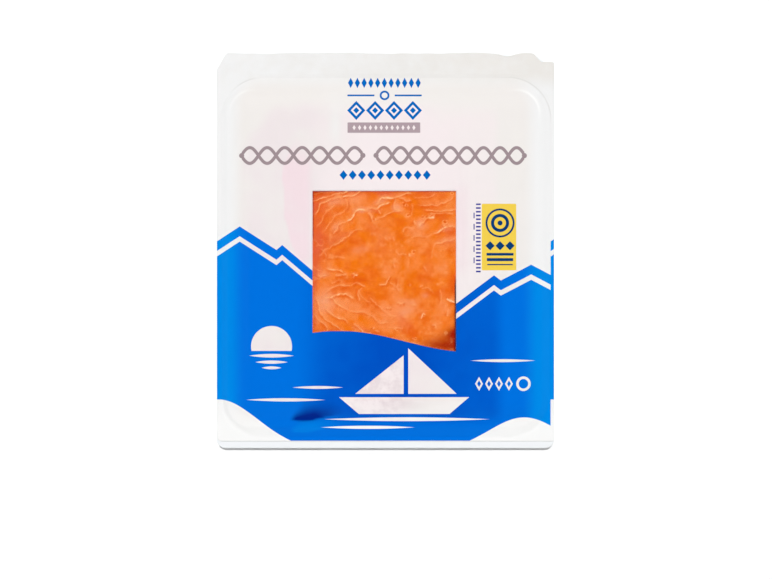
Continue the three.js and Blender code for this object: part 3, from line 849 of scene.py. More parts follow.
def muscle_lines(sizes, x, y):
    """Regular pale lines that fan out from the slice's middle, for the flesh that the print hides."""
    # They bend away below and above the middle, and turn back in between.
    lower = 0.06 * np.minimum(y + 26, 0) ** 2
    lower = np.where(y < -46, 24 + (-46 - y) * 1.9, lower)
    upper = 0.036 * np.maximum(y + 9, 0) ** 2
    upper = np.where(y > 34, 66.6 + (y - 34) * 2.2, upper)
    reverse = 21 * smooth((y + 27) / 10) ** 1.5 * smooth((-9 - y) / 5.5)
    warp = 3.0 * Noise(19, 11)(x, y) + 1.6 * Noise(7, 12)(x, y) + 0.5 * Noise(2.6, 13)(x, y)
    phase = (x - lower - upper - reverse + warp) / (sizes.segment / MM)
    away = np.abs(phase - np.round(phase)) * sizes.segment / MM
    return away, 0.5 + 0.9 * Noise(9, 14)(x, y)


STREAK_REACH = 5  # how far from a streak its glow and its shade are worked out


def streaks_at(x, y):
    """The pale streaks at each point, their glow as painted light on their left side, and painted shade on
    their right.
    """
    rough_x = x + 0.5 * Noise(2.6, 41)(x, y) + 0.22 * Noise(0.9, 42)(x, y)
    rough_y = y + 0.5 * Noise(2.6, 43)(x, y) + 0.22 * Noise(0.9, 44)(x, y)
    broken = np.clip(0.92 + 0.3 * Noise(1.3, 45)(x, y) + 0.35 * Noise(4.5, 46)(x, y), 0.35, 1.15)
    uneven = 0.85 + 0.4 * Noise(2.3, 49)(x, y)
    ragged = smooth(2.2 * Noise(0.75, 50)(x, y) + 0.9 * Noise(1.9, 51)(x, y) - 0.6)
    fat, glow, shade = np.zeros(x.shape), np.zeros(x.shape), np.zeros(x.shape)
    for width, strength, *points in STREAKS:
        curve = smooth_curve(points)
        left, low = curve.min(axis=0) - STREAK_REACH
        right, high = curve.max(axis=0) + STREAK_REACH
        near = (rough_x > left) & (rough_x < right) & (rough_y > low) & (rough_y < high)
        away, along, side = from_curve(curve, rough_x[near], rough_y[near])
        taper = strength * smooth(np.minimum(along, 1 - along) * 6 + 0.25)
        line = fading(away, 0.85 * width * uneven[near])
        spurs = 0.35 * ragged[near] * fading(away, width + 0.45)
        fat[near] = np.maximum(fat[near], taper * np.maximum(line * broken[near], spurs))
        glow[near] = np.maximum(glow[near], taper * fading(away, np.where(side > 0, 1.8, 0.7)))
        shade[near] = np.maximum(shade[near], (side <= 0) * taper * fading(away - 0.9, 0.8))
    return fat, glow, shade


def bubbles_at(x, y):
    """The painted highlight round each bubble's rim and the painted shade in its middle, at each point."""
    rims, middles = np.zeros(x.shape), np.zeros(x.shape)
    uneven = smooth(0.9 + 1.6 * Noise(0.8, 52)(x, y))
    for bubble_x, bubble_y, radius in BUBBLES:
        away = np.hypot(x - bubble_x, (y - bubble_y) * 1.2) / radius
        rim = fading(away - 1, 0.32) * uneven
        rims = np.maximum(rims, 0.8 * rim)
        middles = np.maximum(middles, 1.6 * fading(away, 0.6))
    return rims, middles


def window_edges(x, y):
    """Painted shadow of the print's edge: dark lines on the flesh along the window's left, top and right
    edges.
    """
    low, high = millimetres("lid_window")
    left = fading(x - low.x - 0.2, 0.5) * smooth(0.5 + (y - 6) / 6)
    top = fading(high.y - 0.2 - y, 0.5)
    right = fading(np.maximum(high.x - 0.5 - x, 0), 0.3) * smooth(0.5 - (y + 17) / 8)
    return left, top, right


def flesh_pattern(sizes, x, y):
    """What the flesh looks like at each point: fat, and pale, deep, golden and dark patches."""
    low, high = millimetres("lid_window")
    window = Rounded(low.x, high.x, low.y, high.y, 1)
    shown = smooth(inside(window, x, y) / 3 + 1)
    fat, glow, shade = streaks_at(x, y)
    rims, middles = bubbles_at(x, y)
    fat, shade = np.maximum(fat, rims), np.maximum(shade, middles)

    away, weight = muscle_lines(sizes, x, y)
    plain = np.clip(weight, 0, 1) * (1 - 0.93 * shown)
    fat = np.maximum(fat, plain * fading(away, 0.45))
    glow = np.maximum(glow, plain * fading(away, 1.8))

    cloud = Noise(8, 47)(x, y) + 0.6 * Noise(3.4, 48)(x, y)
    small = Noise(2.4, 54)(x, y) + 0.6 * Noise(1.1, 55)(x, y)
    wisps = smooth(1.6 * np.abs(Noise(3.1, 56)(x, y) + 0.4 * Noise(1.2, 57)(x, y)) - 0.75)
    milky = shown * spotted(MILKY_SPOTS, x, y) * (1 + 0.4 * Noise(2.2, 53)(x, y))
    left_edge, top_edge, seam = window_edges(x, y)
    # fat, pale and deep also carry painted light and shade at streaks and bubbles; dark, painted shadow.
    return {
        "fat": np.maximum(fat, 0.3 * wisps * shown * smooth(0.6 + cloud)),
        "milk": np.clip(milky, 0, 1),
        "pale": np.clip(0.6 * glow + shown * spotted(PALE_SPOTS, x, y) + 0.3 * cloud + 0.15 * small, 0, 1),
        "deep": np.clip(0.7 * shade + shown * spotted(DEEP_SPOTS, x, y) - 0.3 * cloud - 0.15 * small, 0, 1),
        "rose": np.clip(shown * (spotted(ROSE_SPOTS, x, y) * (1 + 0.3 * cloud) - 0.12 * small), 0, 1),
        "gold": np.clip(shown * spotted(GOLD_SPOTS, x, y) - 0.25 * small, 0, 1),
        "dark": np.clip(shown * (spotted(DARK_SPOTS, x, y) + 0.75 * left_edge + 0.6 * top_edge), 0, 1),
        "seam": shown * seam,
    }


# ------------------------------------------------------------------ the lid's grid, and what shows through it

FIELD = Rounded(-86, 84, -96, 86, 0)  # inside this, away from the lid's edges, the grid is coarser
EDGE_COLUMNS, EDGE_ROWS, FIELD_SPACING, WINDOW_SPACING = 0.55, 0.6, 1.1, 0.9
LID_RADII = {"low_left": 2.4, "low_right": 0.8, "high_left": 1.2, "high_right": 1.0}


def lid_grid():
    """The lid's grid lines. The window's edges lie on grid lines, so that it can be cut out."""
    low, high = millimetres("lid_film")
    window_low, window_high = millimetres("lid_window")
    foot = window_low.y + WINDOW_DROP
    columns = spaced(
        (low.x, FIELD.left, EDGE_COLUMNS), (FIELD.left, window_low.x, FIELD_SPACING),
        (window_low.x, window_high.x, WINDOW_SPACING),
        (window_high.x, FIELD.right, FIELD_SPACING), (FIELD.right, high.x, EDGE_COLUMNS),
    )
    rows = spaced(
        (low.y, FIELD.bottom, EDGE_ROWS), (FIELD.bottom, foot, FIELD_SPACING),
        (foot, window_high.y, WINDOW_SPACING),
        (window_high.y, FIELD.top, FIELD_SPACING), (FIELD.top, millimetres("tray")[1].y, EDGE_ROWS),
    )
    x, y = np.meshgrid(columns, rows)
    # Below the window's top, rows bend so that one of them follows the window's lower edge.
    bent = np.where(
        y < foot,
        low.y + (y - low.y) * (window_foot(x) - low.y) / (foot - low.y),
        window_high.y + (y - window_high.y) * (window_foot(x) - window_high.y) / (foot - window_high.y),
    )
    y = np.where(y < window_high.y, bent, y)
    in_columns = (columns[:-1] >= window_low.x - 0.01) & (columns[1:] <= window_high.x + 0.01)
    in_rows = (rows[:-1] >= foot - 0.01) & (rows[1:] <= window_high.y + 0.01)
    return x, y, in_rows[:, None] & in_columns[None, :]


def rounded_sides(x, y):
    """Draws the grid's sides in near its ends, so that the lid's corners are round."""
    low, high = millimetres("lid_film")
    top = millimetres("tray")[1].y

    def pulled(radius_low, radius_high):
        into_low = np.clip(low.y + radius_low - y, 0, radius_low)
        into_high = np.clip(y - (top - radius_high), 0, radius_high)
        low_pull = radius_low - np.sqrt(np.maximum(radius_low ** 2 - into_low ** 2, 0))
        return low_pull + radius_high - np.sqrt(np.maximum(radius_high ** 2 - into_high ** 2, 0))

    left = low.x + pulled(LID_RADII["low_left"], LID_RADII["high_left"])
    right = high.x - pulled(LID_RADII["low_right"], LID_RADII["high_right"])
    return left + (x - low.x) * (right - left) / (high.x - low.x)


CARD_SPREAD = Rounded(0, 3.5, -16, 6, 0)  # how much further than the card its tint reaches on each side
BARE = Spot(-28, 71, 5, 15, 0, 1)  # where the film stands clear of the fish
STACK_COLUMNS, STACK_ROWS = Band(-52, 22, 69, 10), Band(-101.5, 12, 92, 22)

# The lobe of wet fish left of the window: its left edge at some heights, and the rows that it fills.
LOBE_HEIGHTS = (-12, -3.1, 4.8, 17.2, 29.6, 39.8, 47, 55, 64)
LOBE_EDGE = (-45, -49.6, -53.2, -56.3, -57.2, -58.3, -57.4, -54.4, -51)
LOBE_ROWS = Band(-12, 9, 66, 22)

STRIP_COLUMNS, STRIP_ROWS = Band(36, 4, 50, 8), Band(-18, 12, 40, 10)  # wet fish right of the window


def shows_through(x, y):
    """What lies close under the print at each point: the card, the pile, the stack, and wet fish."""
    low, high = millimetres("board")
    card = Rounded(
        low.x + CARD_SPREAD.left, high.x + CARD_SPREAD.right,
        low.y + CARD_SPREAD.bottom, high.y + CARD_SPREAD.top, CARD_RADIUS,
    )
    blotch = Noise(15, 21)(x, y) + 0.6 * Noise(6, 22)(x, y)
    bare = spotted((BARE,), x, y)
    wander_x, wander_y = x + 2.6 * Noise(15, 23)(x, y), y + 2.6 * Noise(15, 24)(x, y)
    pile = smooth(inside_slice(PILE, wander_x, wander_y) / 8 + 0.5)
    wide = 0.5 * within(STACK_COLUMNS, x) * (1 + 0.3 * smooth(-(y + 30) / 30))
    bulk = (wide + 0.42 * fading(x - 7, 26)) * within(STACK_ROWS, y)
    lobe_edge = np.interp(y, LOBE_HEIGHTS, LOBE_EDGE) + 0.8 * Noise(7, 25)(x, y)
    lobe = smooth((x - lobe_edge) / 1.6 + 0.5) * smooth((-39 - x) / 7) * within(LOBE_ROWS, y)
    strip = within(STRIP_COLUMNS, x) * within(STRIP_ROWS, y)
    return {
        "card": smooth((inside(card, x, y) - 1) / 10 + 0.5) * (1 - 0.5 * bare),
        "pile": pile * np.clip(0.85 + 0.5 * blotch, 0, 1) * (1 - bare),
        "stack": np.clip(bulk * (1 + 0.12 * blotch) * (1 - 0.6 * bare), 0, 1),
        "wet": np.clip((lobe + 0.45 * strip) * (1 + 0.2 * blotch), 0, 1),
    }


# ------------------------------------------------------------------ printed shapes, as masks

PRINT_SOFT = 0.12  # width over which a printed edge fades


def any_of(*masks):
    """The strongest of some masks."""
    return reduce(or_, masks)


def filled(away, soft=PRINT_SOFT):
    """Mask of where the distance from an outline is below zero."""
    return (0.5 - away / soft).held()


def below(y, edge):
    """Mask of what lies below an edge."""
    return ((edge - y) / PRINT_SOFT + 0.5).held()


def from_point(x, y, centre):
    """Distance from a point."""
    across, along = x - centre[0], y - centre[1]
    return (across * across + along * along) ** 0.5


def from_box(x, y, centre, half, radius):
    """Distance from the outline of a rounded rectangle, below zero inside it."""
    across = abs(x - centre[0]) - (half[0] - radius)
    along = abs(y - centre[1]) - (half[1] - radius)
    outer_x, outer_y = across | 0.0, along | 0.0
    return (outer_x * outer_x + outer_y * outer_y) ** 0.5 + ((across | along) & 0.0) - radius


def rounded_bar(x, y, centre, half, radius):
    """Mask of a rounded bar."""
    return filled(from_box(x, y, centre, half, radius))


def disc(x, y, centre, radius):
    """Mask of a disc."""
    return filled(from_point(x, y, centre) - radius)


def ring(x, y, centre, radius, half_stroke):
    """Mask of a ring."""
    return filled(abs(from_point(x, y, centre) - radius) - half_stroke)


def lens(x, y, centre, half_length, half_height):
    """Mask of a long shape that thins towards both ends."""
    share = (x - centre[0]) / half_length
    return filled(abs(y - centre[1]) - (1 - share * share) * half_height)


def lozenge(x, y, centre, half_width, half_height):
    """Mask of a lozenge."""
    away = abs(x - centre[0]) / half_width + abs(y - centre[1]) / half_height - 1
    return filled(away * min(half_width, half_height))


def open_lozenge(x, y, centre, outer, inner):
    """Mask of a lozenge with a lozenge cut out of it."""
    return lozenge(x, y, centre, *outer) & (1 - lozenge(x, y, centre, *inner))


def lozenges(x, y, row):
    """Mask of a row of lozenges."""
    middle = row.start + row.pitch * (row.count - 1) / 2
    away = (x - row.start).repeat(row.pitch) / row.half_width + abs(y - row.y) / row.half_height - 1
    shown = rounded_bar(x, y, (middle, row.y), (row.pitch * row.count / 2, row.half_height + 1), 0.1)
    return filled(away * min(row.half_width, row.half_height)) & shown


def half_plane(x, y, start, end):
    """Mask of what lies to the left of a line from start to end."""
    run = Vector((end[0] - start[0], end[1] - start[1])).normalized()
    side = (y - start[1]) * run.x - (x - start[0]) * run.y
    return (side / PRINT_SOFT + 0.5).held()


def polygon(x, y, corners):
    """Mask of a convex outline, its corners anticlockwise."""
    sides = zip(corners, corners[1:] + corners[:1])
    return reduce(and_, (half_plane(x, y, start, end) for start, end in sides))


def edge_line(x, y, box, half_width, soft):
    """Mask of a line round a rounded rectangle."""
    centre = (box.left + box.right) / 2, (box.bottom + box.top) / 2
    half = (box.right - box.left) / 2, (box.top - box.bottom) / 2
    return filled(abs(from_box(x, y, centre, half, box.radius)) - half_width, soft)


# ------------------------------------------------------------------ the print

BRAID_REACH, BRAID_STROKE, BRAID_CAP = 4.4, 0.9, 1.45  # half its height, half a strand, the ends' radius

PEAKS = (Peak(-82, 13.5, 0.64), Peak(-58, 3, 0.85), Peak(82, -8, 0.52), Peak(61, -14, 0.75))
PLAIN = -31.0  # height of the land between the peaks
RIDGE_DEPTH, RIDGE_HALF = 7, 1.5  # how far the pale line lies under the skyline, and half its width
SUN, SUN_RADIUS, HORIZON = (-64, -54), 11.5, -56.5
GLINTS = (((-64, -59.2), 12.5, 1.0), ((-64, -62.8), 9, 0.9), ((-64, -66), 5.5, 0.8))
RIPPLES = (
    ((12, -95), 46, 1.1), ((-10, -99.6), 26, 0.9), ((-56, -84), 22, 0.9), ((66, -62), 18, 0.8),
    ((-38, -77), 14, 0.8),
)
HULL = ((-26, -82.5), (-15, -92), (36, -92), (47, -82.5))
JIB = ((-17, -80.6), (10.2, -80.6), (10.2, -59))
SAIL = ((12.8, -80.6), (40, -80.6), (12.8, -55))
RIGHT_HILL, LEFT_HILL, SHORE = Hill(78, 28, 19), Hill(-94, 32, 29), 113

BEADS = Row(94.4, -19.6, 11, 3.8, 1.5, 3.0)
RULES_Y, RULES_X, RULE_HALF = 87.2, (-13.8, 12.8), (7.6, 0.5)
TILES_Y, TILES_START, TILES_PITCH = 78.6, -16.4, 10.6
BAR = ((-0.9, 68.9), (20.4, 2.9), 0.3)
PIPS = Row(68.9, -17.6, 12, 3.05, 0.9, 1.5)
BRAIDS = ((53.3, -81.2, -12.4, 7), (53.3, -5.6, 78.4, 9))  # row, start, end and crossings
LOWER_BEADS = Row(42.3, -23.6, 10, 5.2, 2.2, 2.7)

FLOATS_Y, FLOATS_START, FLOATS_PITCH, FLOATS_END = -75, 52.6, 5.6, 77.6
LABEL = ((63.8, 7.5), (9.7, 18.7), 0.7)
TARGET = (64.4, 15.4)
LABEL_BEADS = Row(2.6, 58.8, 3, 5.6, 2.6, 2.6)
LABEL_BARS = ((-2.2, (7.6, 0.75), 0.3), (-5.2, (7.4, 0.85), 0.3), (-8, (7.2, 0.35), 0.2))
TALLY_Y = 7

REPEAT = 188.2  # length of the print on its roll; the start of the next one shows at the right edge


def braid(x, y, row, start, end, crossings):
    """Mask of two strands that cross and part along a row."""
    wavelength = 2 * (end - start) / crossings
    along = x - start
    slope = along.cosine(wavelength) * (BRAID_REACH * 2 * pi / wavelength)
    steep = (slope * slope + 1) ** 0.5
    wave = along.sine(wavelength) * BRAID_REACH
    first = filled(abs(y - row - wave) / steep - BRAID_STROKE)
    second = filled(abs(y - row + wave) / steep - BRAID_STROKE)
    shown = rounded_bar(x, y, ((start + end) / 2, row), ((end - start) / 2 - 0.3, BRAID_REACH + 2), 0.1)
    caps = (disc(x, y, (middle, row), BRAID_CAP) for middle in (start + 0.3, end - 0.3))
    return any_of((first | second) & shown, *caps)


def landscape(x, y):
    """Mask of the blue field: a mountain range over water, with a low sun, a boat and a pale shore."""
    skyline = any_of(*(peak.height - abs(x - peak.x) * peak.slope for peak in PEAKS), PLAIN)
    ridge = filled(abs(skyline - RIDGE_DEPTH - y) - RIDGE_HALF)
    sun = disc(x, y, SUN, SUN_RADIUS) & (1 - below(y, HORIZON))
    water = (lens(x, y, *each) for each in GLINTS + RIPPLES)
    boat = (polygon(x, y, outline) for outline in (HULL, JIB, SAIL))
    right, left = (x.bell(hill.x, hill.width) * hill.height for hill in (RIGHT_HILL, LEFT_HILL))
    shore = below(y, right + left - SHORE)
    return below(y, skyline) & (1 - any_of(ridge, sun, *water, *boat, shore))


def floats(x, y):
    """Mask of the row of floats beside the boat."""
    middles = ((FLOATS_START + FLOATS_PITCH * index, FLOATS_Y) for index in range(4))
    row = (open_lozenge(x, y, middle, (2.2, 3.9), (1.1, 1.9)) for middle in middles)
    return any_of(*row, ring(x, y, (FLOATS_END, FLOATS_Y), 3.4, 0.7))


def emblem(x, y):
    """Mask of the blue ornaments at the head of the print."""
    masks = [lozenges(x, y, row) for row in (BEADS, LOWER_BEADS)]
    masks += [rounded_bar(x, y, (middle, RULES_Y), RULE_HALF, 0.2) for middle in RULES_X]
    masks.append(ring(x, y, (sum(RULES_X) / 2, RULES_Y), 2.2, 0.55))
    for index in range(4):
        tile = (TILES_START + TILES_PITCH * index, TILES_Y)
        masks.append(open_lozenge(x, y, tile, (5.1, 5.4), (3.1, 3.3)))
        masks.append(lozenge(x, y, tile, 1.7, 1.8))
    return any_of(*masks)


def tally(x, y):
    """Mask of the column of short strokes beside the label."""
    up = y - TALLY_Y
    strokes = filled(up.repeat(2.1) - 0.45) & rounded_bar(x, y, (52.2, TALLY_Y), (1.3, 19.4), 0.2)
    dashes = filled(up.repeat(6.3) - 1.6) & rounded_bar(x, y, (49.8, TALLY_Y), (0.3, 14.4), 0.1)
    return strokes | dashes


def label_marks(x, y):
    """Mask of the plain rings and bars on the label."""
    rings = ring(x, y, TARGET, 7.6, 0.55) | ring(x, y, TARGET, 4.2, 0.9) | disc(x, y, TARGET, 1.4)
    bars = (rounded_bar(x, y, (TARGET[0], row), half, radius) for row, half, radius in LABEL_BARS)
    return any_of(rings, lozenges(x, y, LABEL_BEADS), *bars)


def white_ink(paint, colours, under, mottle):
    """The white print, tinted by what lies under it, with painted shade and light on its folds, flange and
    rise.
    """
    x, y = paint.x, paint.y
    pile = (under["pile"] * (0.6 + mottle * 0.8)).held()
    raised = y.step(-104, -84)
    shade = paint.mix(under["card"] * raised, colours.white, colours.white_card)
    shade = paint.mix(pile * raised, shade, colours.white_pile)
    # Over the lower stack, painted shade of wrinkles lies on the left, and the right stays smoother.
    foot = 1 - y.step(-64, -56)
    clear = foot * x.step(2, 20)
    shade = paint.mix(under["stack"].step(0.1, 0.8) * (1 - clear * 0.8), shade, colours.white_stack)
    shade = paint.mix(under["wet"], shade, colours.white_wet)
    wrinkle_shade = paint.noise(5.5, detail=5, roughness=0.6).step(0.38, 0.66)
    shade = paint.mix(foot * under["stack"] * (1 - clear) * wrinkle_shade * 0.34, shade, colours.fold_shade_white)
    # Painted light: the film along the lower rise is whitened.
    shade = paint.mix((1 - y.step(-100, -80)) * 0.35, shade, colours.painted_light_white)
    # Painted shade: the upper flange greys in blotches, a little more to the right.
    sealed = y.step(RIM.top - 9, RIM.top + 3) * (mottle + x * 0.005 + 0.05).held()
    shade = paint.mix(sealed, shade, colours.flange_shade_white)
    # Painted shade in the folds.
    return paint.mix(under["fold_shade"] * 0.45, shade, colours.fold_shade_white)


def blue_ink(paint, colours, under, mottle):
    """The blue print, darker over the card and the stack, with painted light below the folds and painted
    shade in them.
    """
    shade = paint.mix(under["card"], colours.blue, colours.blue_card)
    shade = paint.mix(under["wet"] * 0.8, shade, colours.blue_wet)
    shade = paint.mix((under["stack"] * (0.9 + mottle * 0.2)).held(), shade, colours.blue_stack)
    # Painted light just below the folds.
    shade = paint.mix(under["swell"] * 0.5, shade, colours.blue)
    # Painted shade in the folds.
    return paint.mix(under["fold_shade"], shade, colours.fold_shade)


def pressed(paint, colours, shade):
    """Adds painted shade as a grey line round the foot of the rise, strongest at its upper corners, and a
    painted highlight along the crown's upper corners.
    """
    x, y = paint.x, paint.y
    corners = x.step(54, 84) * y.step(68, 80) | x.bell(-80, 6) * y.step(86, 89)
    # Painted shade along the foot of the rise, strongest at its upper corners.
    line = edge_line(x, y, RIM, 0.3, 0.6) * (corners | y.step(30, 70) * 0.12)
    shade = paint.mix(line * 0.38, shade, colours.shade_grey)
    # Painted highlight along the crown's upper corners.
    corner_highlight = x.bell(82, 8) * y.bell(85, 9) | x.bell(-83, 8) * y.bell(88, 7) * 0.4
    return paint.mix(edge_line(x, y, inset(CROWN, 0.7), 0.35, 1.6) * corner_highlight, shade, colours.painted_light_white)


# ------------------------------------------------------------------ materials


def printed_film(colours):
    """White film printed in blue, through which the card and the fish show dimly."""
    paint = Paint("printed film")
    names = ("card", "pile", "stack", "wet", "fold_shade", "swell")
    under = {name: paint.attribute(name).held() for name in names}
    mottle = paint.noise(8, detail=4, roughness=0.55)
    white = white_ink(paint, colours, under, mottle)
    blue = blue_ink(paint, colours, under, mottle)

    following = paint.x.math("GREATER_THAN", paint.x, REPEAT / 2 - 1)
    x, y = paint.x - following * REPEAT, paint.y
    cut = millimetres("lid_film")[0].y
    label = rounded_bar(x, y, *LABEL)
    shade = paint.mix(landscape(x, y) & y.step(cut + 0.25, cut + 0.45), white, blue)
    # Painted shadow: a grey line along the film's cut lower edge.
    shade = paint.mix((1 - y.step(cut, cut + 0.5)) * 0.5, shade, colours.shade_grey)
    marks = (
        (floats(x, y), white),
        (any_of(*(braid(x, y, *each) for each in BRAIDS)), colours.grey),
        (rounded_bar(x, y, *BAR) & (1 - lozenges(x, y, PIPS)), colours.bar),
        (label, colours.yellow),
        (emblem(x, y), colours.ornament),
        (tally(x, y), colours.tally),
        (label_marks(x, y) & label, colours.navy),
    )
    for mask, mark_colour in marks:
        shade = paint.mix(mask, shade, mark_colour)

    crinkle = paint.noise(3.2, detail=4, roughness=0.6)
    return paint.surface(
        Base_Color=pressed(paint, colours, shade),
        Roughness=0.27 + crinkle * 0.12,
        Specular_IOR_Level=0.05,
        Normal=paint.bump(crinkle, 0.2, 0.12),
    )


CLEAR_GLOSS = 0.022  # how much of the clear film's look is its gloss


def clear_film():
    """Clear film: nearly nothing to see but its gloss."""
    paint = Paint("clear film", blend=True)
    clear = paint.node("ShaderNodeBsdfTransparent", {}, {"Color": (0.995, 0.995, 0.995)})
    ripple = paint.bump(paint.noise(3, detail=3), 0.35, 0.15)
    gloss = paint.node("ShaderNodeBsdfGlossy", {}, {"Color": (1, 1, 1), "Roughness": 0.1, "Normal": ripple})
    both = paint.node("ShaderNodeMixShader", {}, {0: CLEAR_GLOSS, 1: clear, 2: gloss})
    paint.tree.links.new(both.socket, paint.output.inputs["Surface"])
    paint.tree.nodes.remove(paint.shader)
    return paint.material


def flesh(colours):
    """Moist orange flesh, with pale streaks of fat between the blocks of muscle."""
    paint = Paint("salmon flesh")
    names = ("fat", "milk", "pale", "deep", "rose", "gold", "dark", "seam")
    fat, milk, pale, deep, rose, gold, dark, seam = (paint.attribute(name).held() for name in names)
    fine = paint.noise(2.2, detail=5, roughness=0.65)
    strand = paint.noise(0.9, detail=4, roughness=0.7, stretch=(1, 1.3, 1)).step(0.5, 0.8)
    cloud = paint.noise(7, detail=3, roughness=0.55)
    shade = paint.mix(cloud.step(0.35, 0.7) * 0.35, colours.orange, colours.peach)
    shade = paint.mix(gold, shade, colours.gold)
    # pale also carries painted light on the left of the streaks.
    shade = paint.mix(pale * 0.85, shade, colours.peach)
    shade = paint.mix((rose * (0.7 + cloud * 0.4)).held(), shade, colours.rose)
    # deep also carries painted shade beside the streaks, in the bubbles and under the window's top edge.
    shade = paint.mix((deep * (0.7 + fine * 0.6)).held(), shade, colours.ember)
    # dark also carries painted shadow of the print's edge along the window's left, top and right.
    shade = paint.mix(dark, shade, colours.brown)
    shade = paint.mix(fine.step(0.55, 0.85) * 0.25, shade, colours.ember)
    shade = paint.mix(strand * 0.12, shade, colours.fat)
    shade = paint.mix((milk * (0.6 + fine * 0.8)).held(), shade, colours.milk)
    # fat also carries the bubbles' painted highlights.
    shade = paint.mix((fat * (0.75 + fine * 0.5)).held() * 0.85, shade, colours.fat)
    shade = paint.mix((fat * (0.7 + fine * 0.6)).step(0.72, 1.15) * 0.65, shade, colours.glint)
    # Painted shadow of the print's edge along the window's lower right.
    shade = paint.mix(seam * 0.9, shade, colours.seam)
    relief = fine * 0.5 + strand * 0.25 - fat * 0.4
    return paint.surface(
        Base_Color=shade,
        Roughness=0.26 + fine * 0.2,
        Subsurface_Weight=0.12,
        Subsurface_Radius=(0.0022, 0.0009, 0.0004),
        Subsurface_Scale=1.0,
        Coat_Weight=0.1,
        Coat_Roughness=0.1,
        Specular_IOR_Level=0.2,
        Normal=paint.bump(relief, 0.5, 0.3),
    )


TRAY_DEPTH = 8.6


def tray_plastic(colours):
    """White thermoformed sheet, a little uneven where it was drawn."""
    paint = Paint("tray plastic")
    drawn = paint.noise(14, detail=3)
    grain = paint.noise(0.7, detail=3)
    depth = paint.z.step(0, TRAY_DEPTH)
    shade = paint.mix(drawn * 0.35 + (1 - depth) * 0.15, colours.tray, colours.tray_drawn)
    return paint.surface(
        Base_Color=shade,
        Roughness=0.36 + drawn * 0.15,
        Normal=paint.bump(drawn * 0.6 + grain * 0.15, 0.25, 0.25),
    )


def coated_card(colours):
    """Cream coated card with grey pulp at its cut edge."""
    paint = Paint("coated card")
    facing = paint.node("ShaderNodeNewGeometry", {}, {}, output="Normal")
    up = abs(paint.node("ShaderNodeSeparateXYZ", {}, {0: facing}, output=2))
    pulp = paint.noise(0.5, detail=4, roughness=0.7)
    cloud = paint.noise(22, detail=2)
    face = paint.mix(cloud * 0.3 + pulp * 0.15, colours.card, colours.card_cloud)
    edge = paint.mix(pulp, colours.pulp, colours.pulp_pale)
    return paint.surface(
        Base_Color=paint.mix(up.step(0.3, 0.7), edge, face),
        Roughness=0.5 + pulp * 0.2,
        Normal=paint.bump(pulp, 0.3, 0.05),
    )


# ------------------------------------------------------------------ pieces


LIP = 0.5  # width and fall of the turn at the tray's lower edge
FLANGE_SHARES = spaced((0.1, 0.8, 0.1), (0.8, 1, 0.025))
TRAY_RADII = (5, 1.0, 1.2, 5)  # of the flange, anticlockwise from the lower right corner
FLOOR_STEPS = (40, 20, 10)  # how far in from the mouth the floor's rings lie
FILLET_RINGS = 7


def make_tray(sizes, colours):
    """The tray: a flat floor, leaning walls and a flange whose edge follows the lid's."""
    low, high = millimetres("tray")
    edge = rounded_ring(Rounded(low.x, high.x, low.y, -low.y, 0), TRAY_RADII)
    wall, fillet, draft = sizes.tray_wall / MM, sizes.tray_fillet / MM, sizes.tray_draft / MM
    turns = np.linspace(0, pi / 2, FILLET_RINGS)

    def flange_ring(share, z):
        inner = rounded_ring(inset(MOUTH, -fillet))
        plan = inner + (edge - inner) * share
        y = wandering_top(plan[:, 0], plan[:, 1])
        wave = flange_wave(sizes, plan[:, 0], y)
        turn = np.clip((low.y + LIP - y) / LIP, 0, 1)
        fall = LIP * (0.4 * turn + 0.6 * (1 - np.sqrt(1 - turn ** 2)))
        return np.column_stack([plan[:, 0], y, z + wave - fall])

    def face(lift):
        flange, shift = high.z - wall + lift, wall - lift
        rings = [level_ring(inset(MOUTH, step), lift) for step in FLOOR_STEPS]
        for turn in turns:
            outward = inset(MOUTH, draft + fillet * (1 - np.sin(turn)) - shift)
            rings.append(level_ring(outward, lift + fillet * (1 - np.cos(turn))))
        for turn in turns:
            outward = inset(MOUTH, fillet * (np.cos(turn) - 1) - shift)
            rings.append(level_ring(outward, flange + fillet * (np.sin(turn) - 1)))
        return rings + [flange_ring(share, flange) for share in FLANGE_SHARES]

    points, faces = loft([*face(wall), *face(0)[::-1]])
    return piece("tray_shell", points, faces, tray_plastic(colours), "tray")


CARD_BEVEL, CARD_MIDDLE = 0.15, 30  # the cut edge's bevel, and how far in the faces' inner rings lie


def make_board(colours):
    """The card under the fish."""
    low, high = millimetres("board")
    card = Rounded(low.x, high.x, low.y, high.y, CARD_RADIUS)
    upper = ((CARD_MIDDLE, high.z), (CARD_BEVEL, high.z), (0, high.z - CARD_BEVEL))
    lower = ((0, low.z + CARD_BEVEL), (CARD_BEVEL, low.z), (CARD_MIDDLE, low.z))
    points, faces = loft([level_ring(inset(card, by), z) for by, z in upper + lower])
    return piece("board_card", points, faces, coated_card(colours), "board")


def fitted(plan, columns, rows):
    """A grid drawn in to a slice's outline, and each point's share of the way from middle to edge."""
    u, v = np.meshgrid((columns - plan.x) / plan.half_width, (rows - plan.y) / plan.half_length)
    share = np.maximum(np.abs(u), np.abs(v))
    a, b = u / np.maximum(share, 1e-9), v / np.maximum(share, 1e-9)
    power = np.maximum(np.abs(a) ** plan.squareness + np.abs(b) ** plan.squareness, 1e-9)
    edge = power ** (-1 / plan.squareness) * lobes(plan, np.arctan2(b, a))
    pull = 1 + (edge - 1) * share ** 6
    return plan.x + plan.half_width * u * pull, plan.y + plan.half_length * v * pull, share


